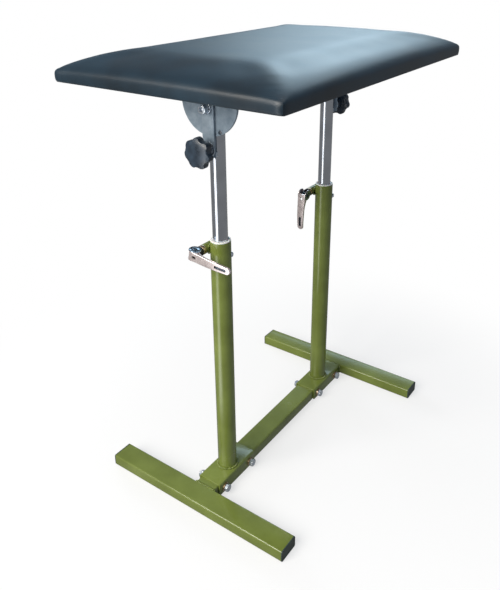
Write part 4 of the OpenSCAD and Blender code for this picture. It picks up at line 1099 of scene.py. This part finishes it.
# Screws that hold the flanges under the pad
flangeScrew = {"x": 37.74, "apart": 22, "radius": 4.75, "foot": 0.25, "side": (0.3, 0.9), "dome": 2.1,
               "arc": 72, "steps": 6, "shank": 2.5, "shankLength": 6, "socket": 3, "depth": 1.6, "cone": 0.45}
s = flangeScrew
bm = bmesh.new()
domedScrew(bm, pointing(-s["x"], -base["columnY"], disc["underside"] - disc["plate"], (0, 0, -1)), s)
screws = growNodes(newPiece("flangeScrews", bm, zinc), rowsOfParts, {
    "Layers": 2, "Layer step": (2 * s["x"] * mm, 0, 0), "Columns": 2, "Column step": (0, s["apart"] * mm, 0),
    "Rows": 2, "Row step": (0, (2 * base["columnY"] - s["apart"]) * mm, 0), "Material": zinc})
settle(screws, "pad", "zinc_plate", "flange_screws")


# Pad: leather over foam on a board, closed underneath by a stretched lining
pad = {"base": 727.5, "width": 400, "length": 586, "height": 40.5, "crown": 3.5, "side": 18, "bow": 5,
       "pull": 0.8, "edge": 2.5, "roll": 8, "border": 50, "soft": 19, "spreads": 0.5, "corner": 7,
       "shrink": 0.6, "sink": 1.6, "sinkOver": 20, "arcSteps": 6, "runSteps": (26, 38),
       "insets": (5, 8, 12, 16, 21, 27, 34, 42, 52, 64, 78, 94, 112, 132, 154, 174, 194),
       "voxel": 4.5, "pressure": 4.0, "frames": 20, "cap": 3.5, "heldTo": 17, "freeFrom": 27,
       "soften": 60, "play": 0.6, "flatBelow": 1.2, "margin": 33, "recess": 0.7, "recessBelow": 1.5,
       "recessOver": 4}
fold = {"turn": 46, "width": 10, "depth": 0.7, "from": 2}
quarters = ((1, 1), (-1, 1), (-1, -1), (1, -1))


def padRing(hx, hy, z, r, pull, bow):
    # one level of the cover: sides pulled in and bowed up between its round corners
    row = []
    for q, (sx, sy) in enumerate(quarters):
        for i in range(pad["arcSteps"] + 1):
            a = math.pi / 2 * (q + i / pad["arcSteps"])
            row.append(Vector((sx * (hx - r) + r * math.cos(a), sy * (hy - r) + r * math.sin(a), z)))
        steps = pad["runSteps"][q % 2]
        for i in range(1, steps):
            t = i / steps
            s = math.sin(math.pi * t)
            if q % 2 == 0:
                row.append(Vector((sx * (hx - r) * (1 - 2 * t), sy * (hy - pull * s), z + bow * s)))
            else:
                row.append(Vector((sx * (hx - pull * s), sy * (hy - r) * (1 - 2 * t), z + bow * s)))
    return row


def padSection():
    # (inset, height, share of the bow) from the underside round to the crown
    p = pad
    made = []
    for a in map(math.radians, range(-90, 1, 30)):
        made.append((p["edge"] * (1 - math.cos(a)), p["edge"] * (1 + math.sin(a)), 0))
    for a in map(math.radians, range(0, 61, 20)):
        rollTop = p["side"] + p["roll"] * (math.sin(a) - 0.5)
        made.append((p["roll"] * (1 - math.cos(a)), rollTop, 1))
    for depth in p["insets"]:
        t = (depth - p["roll"] / 2) / (p["width"] / 2 - p["roll"] / 2)
        climb = (1 - math.exp((p["roll"] / 2 - depth) / p["soft"])) * (p["height"] + 1 - rollTop)
        crown = (p["crown"] - 1) * (1 - (1 - t) ** 2)
        made.append((depth, rollTop + climb + crown, max(0, 1 - depth / p["border"])))
    return made


def padShape():
    p = pad
    bm = bmesh.new()
    rows = []
    for depth, height, bow in padSection():
        hx, hy = p["width"] / 2 - p["shrink"] - depth, p["length"] / 2 - p["shrink"] - depth
        r = max(min(p["corner"] + depth * p["spreads"], hx * 0.9), p["edge"])
        low = height - p["sink"] * max(0, min(1, (height - p["side"]) / p["sinkOver"]))
        pull = p["pull"] * max(0, 1 - depth / p["border"])
        rows.append([v + Vector((0, 0, p["base"])) for v in padRing(hx, hy, low, r, pull, p["bow"] * bow)])
    skin(bm, rows, caps=(True, True))
    bmesh.ops.triangulate(bm, faces=[face for face in bm.faces if len(face.verts) > 4])
    return newPiece("padCover", bm, leatherSkin)


def holdSides(piece):
    # one group holds the underside and the upright sides, the other frees the border and the top
    held, free = piece.vertex_groups.new(name="held"), piece.vertex_groups.new(name="free")
    for vert in piece.data.vertices:
        height = vert.co.z / mm - pad["base"]
        share = max(0.0, min(1.0, (pad["freeFrom"] - height) / (pad["freeFrom"] - pad["heldTo"])))
        held.add([vert.index], share, "REPLACE")
        free.add([vert.index], 1 - share, "REPLACE")


def inflate(piece):
    # swells the remeshed pad with cloth pressure and caps how far any point may move
    scene = bpy.context.scene
    start = [vert.co.copy() for vert in piece.data.vertices]
    cloth = piece.modifiers.new("cloth", "CLOTH")
    cloth.settings.vertex_group_mass = "held"
    cloth.settings.quality = 5
    cloth.settings.use_pressure = True
    cloth.settings.uniform_pressure_force = pad["pressure"]
    cloth.settings.tension_stiffness = cloth.settings.compression_stiffness = 25
    cloth.settings.bending_stiffness = 4
    cloth.settings.effector_weights.gravity = 0
    cloth.collision_settings.use_collision = False
    cloth.point_cache.frame_start, cloth.point_cache.frame_end = 1, pad["frames"]
    for step in range(1, pad["frames"] + 1):
        scene.frame_set(step)
    graph = bpy.context.evaluated_depsgraph_get()
    swollen = [vert.co.copy() for vert in piece.evaluated_get(graph).data.vertices]
    piece.modifiers.remove(cloth)
    scene.frame_set(1)
    limit = pad["cap"] * mm
    for vert, old, new in zip(piece.data.vertices, start, swollen):
        move = new - old
        if move.length > limit:
            move *= limit / move.length
        vert.co = old + move


def cornerFold(x, y):
    # how deep a point lies in the fold that runs up each corner
    dx, dy = abs(x) - pad["width"] / 2 + pad["corner"], abs(y) - pad["length"] / 2 + pad["corner"]
    if dx <= 0 or dy <= 0:
        return 0.0
    return math.exp(-((math.degrees(math.atan2(dy, dx)) - fold["turn"]) / fold["width"]) ** 2)


def trimPad(piece):
    # flattens the underside, presses the corner folds in and keeps inside the real size
    hx, hy = pad["width"] / 2 + pad["play"], pad["length"] / 2 + pad["play"]
    for vert in piece.data.vertices:
        v = vert.co / mm
        height = v.z - pad["base"]
        if height < pad["flatBelow"]:
            v.z = pad["base"]
        pressed = fold["depth"] * cornerFold(v.x, v.y) if height > fold["from"] else 0.0
        if pressed > 0:
            v.x -= math.copysign(pressed, v.x)
            v.y -= math.copysign(pressed, v.y)
        v.x = max(-hx, min(hx, v.x))
        v.y = max(-hy, min(hy, v.y))
        vert.co = v * mm


def sinkUnderside(piece):
    # the board lies a little deeper than the leather margin round it
    for vert in piece.data.vertices:
        v = vert.co / mm
        inside = min(pad["width"] / 2 - abs(v.x), pad["length"] / 2 - abs(v.y)) - pad["margin"]
        if v.z < pad["base"] + pad["recessBelow"]:
            v.z = pad["base"] + pad["recess"] * max(0, min(1, inside / pad["recessOver"]))
            vert.co = v * mm


cover = padShape()
remesh = cover.modifiers.new("remesh", "REMESH")
remesh.mode = "VOXEL"
remesh.voxel_size = pad["voxel"] * mm
applyModifiers(cover)
holdSides(cover)
inflate(cover)
soften = cover.modifiers.new("soften", "SMOOTH")
soften.factor, soften.iterations, soften.vertex_group = 0.5, pad["soften"], "free"
applyModifiers(cover)
trimPad(cover)
smooth = cover.modifiers.new("smooth", "SUBSURF")
smooth.levels = smooth.render_levels = 1
applyModifiers(cover)
sinkUnderside(cover)
cover.vertex_groups.clear()
shade(cover.data, 60)
cover.data.materials.clear()
cover.data.materials.append(leatherSkin)
settle(cover, "pad", "black_leather", "pad_cover", "pad_foam")
print("pad cover made:", len(cover.data.polygons), "faces")

# Corner pleats: the cover's spare leather folded flat on the short faces, its free edge at the corner
pleat = {"from": -32, "turnTo": 58, "low": 0.7, "high": 19.5, "round": 6, "thick": 1.0, "edge": 0.8,
         "sunk": 0.4, "lift": 0.02, "along": 26, "up": 18}


def pleatRows(surface, sx, sy):
    # a thin flap laid on the cover, station by station towards the corner
    p, corner = pleat, pad["corner"]
    length = corner * math.radians(p["turnTo"])
    rows = []
    for k in range(p["along"] + 1):
        s = p["from"] + (length - p["from"]) * (1 - (1 - k / p["along"]) ** 2.2)
        turn = max(0, s) / corner
        out = Vector((sx * math.sin(turn), sy * math.cos(turn), 0))
        middle = Vector((sx * (pad["width"] / 2 - corner + min(0, s)), sy * (pad["length"] / 2 - corner),
                         pad["base"]))
        bend = max(0, s - length + p["round"])
        top = p["high"] - p["round"] + math.sqrt(max(0, p["round"] ** 2 - bend ** 2))
        swell = min(1, (s - p["from"]) / (length - p["from"]) * 1.25) ** 1.5 * p["thick"]
        outer, inner = [], []
        for j in range(p["up"] + 1):
            height = p["low"] + (top - p["low"]) * math.sin(math.pi / 2 * j / p["up"])
            rim = min(1, min(length - s, (top - height) * 1.6, (height - p["low"]) * 2) / p["edge"])
            spot = middle + Vector((0, 0, height))
            place = surface.ray_cast(spot + out * 40, -out)[0] or spot + out * corner
            outer.append(place + out * (swell * math.sqrt(max(0, 1 - (1 - rim) ** 2)) + p["lift"]))
            inner.append(place - out * p["sunk"])
        rows.append(outer + inner[::-1])
    return rows


surface = bvhtree.BVHTree.FromPolygons([vert.co / mm for vert in cover.data.vertices],
                                       [face.vertices for face in cover.data.polygons])
bm = bmesh.new()
for sx in (-1, 1):
    for sy in (-1, 1):
        skin(bm, pleatRows(surface, sx, sy), caps=(True, True))
settle(newPiece("padPleats", bm, leatherSkin, 60), "pad", "black_leather")


# Lining: one thin sheet pulled flat, its hem laid over the leather margin and stapled down
liner = {"halfX": 176, "halfY": 269, "corner": 12, "inner": 0.25, "hem": -0.35, "thick": 0.25, "hemFrom": 5,
         "flatTo": 12, "ripple": 0.12, "rippleScale": 0.03, "columns": 72, "lines": 108}
staple = {"inset": 3.5, "under": 0.5, "spacing": 29, "half": 3.4, "wire": 0.4, "tilt": 0.5}


def liningHeight(x, y):
    edge = min(liner["halfX"] - abs(x), liner["halfY"] - abs(y))
    share = max(0, min(1, (edge - liner["hemFrom"]) / (liner["flatTo"] - liner["hemFrom"])))
    share = share * share * (3 - 2 * share)
    ripple = liner["ripple"] * noise.noise(Vector((x, y, 0)) * liner["rippleScale"]) * (1 - share)
    return pad["base"] + liner["hem"] + (liner["inner"] - liner["hem"]) * share + ripple


def liningPoint(x, y):
    # the square corners of the grid are drawn in to round ones
    straightX, straightY = liner["halfX"] - liner["corner"], liner["halfY"] - liner["corner"]
    cx, cy = abs(x) - straightX, abs(y) - straightY
    if cx > 0 and cy > 0:
        share = max(cx, cy) / math.hypot(cx, cy)
        x, y = math.copysign(straightX + cx * share, x), math.copysign(straightY + cy * share, y)
    return (x, y, liningHeight(x, y))


bm = bmesh.new()
grid = [[bm.verts.new(liningPoint(liner["halfX"] * (2 * i / liner["columns"] - 1),
                                  liner["halfY"] * (2 * j / liner["lines"] - 1)))
         for i in range(liner["columns"] + 1)] for j in range(liner["lines"] + 1)]
for low, high in zip(grid, grid[1:]):
    for i in range(liner["columns"]):
        bm.faces.new((low[i], low[i + 1], high[i + 1], high[i]))
dustCloth = newPiece("padLining", bm, lining, 60)
wall = dustCloth.modifiers.new("wall", "SOLIDIFY")
wall.thickness = liner["thick"] * mm
wall.offset = 0
applyModifiers(dustCloth)
shade(dustCloth.data, 60)

s = staple
track = inset(roundRect(2 * liner["halfX"], 2 * liner["halfY"], liner["corner"], 4), s["inset"])
height = pad["base"] + liner["hem"] - s["under"]
stapleRow = pathPiece("liningStaples", [[(p.x, p.y, height) for p in track]], True)
growNodes(stapleRow, staples, {
    "Spacing": s["spacing"] * mm, "Half crown": (s["half"] * mm, s["half"] * mm, 0),
    "Wire radius": s["wire"] * mm, "Tilt": s["tilt"], "Material": zinc})
settle(stapleRow, "pad", "zinc_plate")
settle(dustCloth, "pad", "dust_cloth", "pad_dust_cloth")
print("lining made")


# CAD solids that stay: inside the masts and the pad
for node, material in {"front_guide_plug": acetal, "rear_guide_plug": acetal, "front_knob_insert": zinc,
                       "rear_knob_insert": zinc, "tee_nuts": zinc, "pad_board": plywood}.items():
    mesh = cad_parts[node].data
    mesh.materials.clear()
    mesh.materials.append(material)


# Camera, floor and light
view = {"azimuth": 35.207, "elevation": 22.851, "roll": -0.347, "place": (0.589457, -0.891975, 0.897622),
        "focal": 643.88, "tall": 590, "sensor": 36, "shift": (-0.01644, -0.1187)}
a, e, r = (math.radians(view[key]) for key in ("azimuth", "elevation", "roll"))
backward = Vector((math.sin(a) * math.cos(e), -math.cos(a) * math.cos(e), math.sin(e)))
level = Vector((math.cos(a), math.sin(a), 0))
upward = backward.cross(level)
across, upward = level * math.cos(r) + upward * math.sin(r), upward * math.cos(r) - level * math.sin(r)
camera = bpy.data.objects.new("camera", bpy.data.cameras.new("camera"))
turn = Matrix((across, upward, backward)).transposed().to_4x4()
camera.matrix_world = Matrix.Translation(view["place"]) @ turn
camera.data.sensor_width = view["sensor"]
camera.data.lens = view["focal"] / view["tall"] * view["sensor"]
camera.data.shift_x, camera.data.shift_y = view["shift"]
bpy.context.scene.collection.objects.link(camera)
bpy.context.scene.camera = camera
bpy.context.scene.view_settings.view_transform = "Standard"

# The floor's lane is a bright strip that only mirrors see: it draws the streak on the tubes
stageLook = {"floor": "f4f4f4", "bounce": "a8aaac", "nearWhite": 0.62, "fade": (0.3, 0.8), "reach": 60000,
             "mirrored": 0.24, "lane": 3.4, "laneStart": (0.3, 0.42), "laneTurn": -98, "laneHalf": 19,
             "laneFrom": (0, 0.1), "world": 0.3, "worldColor": "dbe8f8"}


def directRays(tree, seen):
    # rays that show the background itself
    return compute(tree, "MAXIMUM", seen["Is Camera Ray"], seen["Is Transmission Ray"])


def floorMaterial():
    # pale floor: keeps the shadow and is white to the camera further out; what metal mirrors
    # is a dimmer studio floor with the lane in it
    look = stageLook
    material = bpy.data.materials.new("pale studio floor")
    tree = clearTree(material)
    coords = addNode(tree, "ShaderNodeTexCoord").outputs["Object"]
    far = addNode(tree, "ShaderNodeVectorMath", {"operation": "LENGTH"}, {0: coords}).outputs["Value"]
    fade = mapRange(tree, far, look["fade"], (look["nearWhite"], 1.0), "SMOOTHSTEP")
    aside = addNode(tree, "ShaderNodeMapping", {"vector_type": "TEXTURE"},
                    {"Vector": coords, "Location": (*look["laneFrom"], 0),
                     "Rotation": (0, 0, math.radians(look["laneTurn"]))})
    parts = addNode(tree, "ShaderNodeSeparateXYZ", None, {0: aside.outputs["Vector"]}).outputs
    away = compute(tree, "ABSOLUTE", compute(tree, "ARCTAN2", parts["Y"], parts["X"]))
    bright = mapRange(tree, far, look["laneStart"], (look["mirrored"], look["lane"]))
    lane = mapRange(tree, away, (0.0, math.radians(look["laneHalf"])), (bright, look["mirrored"]),
                    "SMOOTHSTEP")
    seen = addNode(tree, "ShaderNodeLightPath").outputs
    shown = compute(tree, "MULTIPLY", directRays(tree, seen), fade)
    share = compute(tree, "MAXIMUM", shown, seen["Is Glossy Ray"])
    glow = addNode(tree, "ShaderNodeMix", {"data_type": "FLOAT"}, {0: seen["Is Glossy Ray"], 2: 1.0, 3: lane})
    tone = addNode(tree, "ShaderNodeMix", {"data_type": "RGBA"},
                   {0: seen["Is Diffuse Ray"], 6: hexColor(look["floor"]), 7: hexColor(look["bounce"])})
    matt = addNode(tree, "ShaderNodeBsdfDiffuse", None, {"Color": tone.outputs[2]})
    white = addNode(tree, "ShaderNodeEmission", None, {"Strength": glow.outputs[0]})
    mixed = addNode(tree, "ShaderNodeMixShader", None,
                    {0: share, 1: matt.outputs["BSDF"], 2: white.outputs["Emission"]})
    # from below the floor is not there, so that the underside can be seen
    gone = addNode(tree, "ShaderNodeBsdfTransparent")
    below = addNode(tree, "ShaderNodeNewGeometry").outputs["Backfacing"]
    mixed = addNode(tree, "ShaderNodeMixShader", None,
                    {0: below, 1: mixed.outputs["Shader"], 2: gone.outputs["BSDF"]})
    addNode(tree, "ShaderNodeOutputMaterial", None, {"Surface": mixed.outputs["Shader"]})
    return material


bm = bmesh.new()
bm.faces.new([bm.verts.new((x * stageLook["reach"], y * stageLook["reach"], -0.2))
              for x, y in ((-1, -1), (1, -1), (1, 1), (-1, 1))])
newPiece("studioFloor", bm, floorMaterial())

world = bpy.data.worlds.new("studio")
bpy.context.scene.world = world
tree = clearTree(world)
plain, white = (addNode(tree, "ShaderNodeBackground", None, {"Color": hexColor(color), "Strength": strength})
                for color, strength in ((stageLook["worldColor"], stageLook["world"]), ("ffffff", 1.0)))
direct = directRays(tree, addNode(tree, "ShaderNodeLightPath").outputs)
pick = addNode(tree, "ShaderNodeMixShader", None,
               {0: direct, 1: plain.outputs["Background"], 2: white.outputs["Background"]})
addNode(tree, "ShaderNodeOutputWorld", None, {"Surface": pick.outputs["Shader"]})

lamps = {"key": {"place": (-0.65, -3.2, 2.5), "aim": (0, 0, 0.4), "size": (2.8, 2.8), "watts": 215,
                 "color": "fffaf2"},
         "backWall": {"place": (-1.1, 2.4, 1.78), "aim": (0, 0, 0.85), "size": (2.4, 0.8), "watts": 1.55,
                      "color": "c8e4f4", "spread": 32},
         "leftFill": {"place": (-2.2, 0.9, 0.6), "aim": (0, 0.2, 0.1), "size": (1.2, 0.5), "watts": 24,
                      "color": "eef4ff", "mirrored": False},
         "top": {"place": (0.3, 0.3, 2.8), "aim": (0, 0, 0.4), "size": (1.6, 1.6), "watts": 10,
                 "color": "ffffff"}}
for name, lamp in lamps.items():
    light = bpy.data.lights.new(name, "AREA")
    light.shape = "RECTANGLE"
    light.size, light.size_y = lamp["size"]
    light.energy = lamp["watts"]
    light.color = hexColor(lamp["color"])[:3]
    light.spread = math.radians(lamp.get("spread", 180))
    holder = bpy.data.objects.new(name, light)
    holder.visible_glossy = lamp.get("mirrored", True)
    holder.matrix_world = pointing(*lamp["place"], Vector(lamp["place"]) - Vector(lamp["aim"]))
    bpy.context.scene.collection.objects.link(holder)
print("camera, floor and lamps set")

bpy.context.view_layer.update()
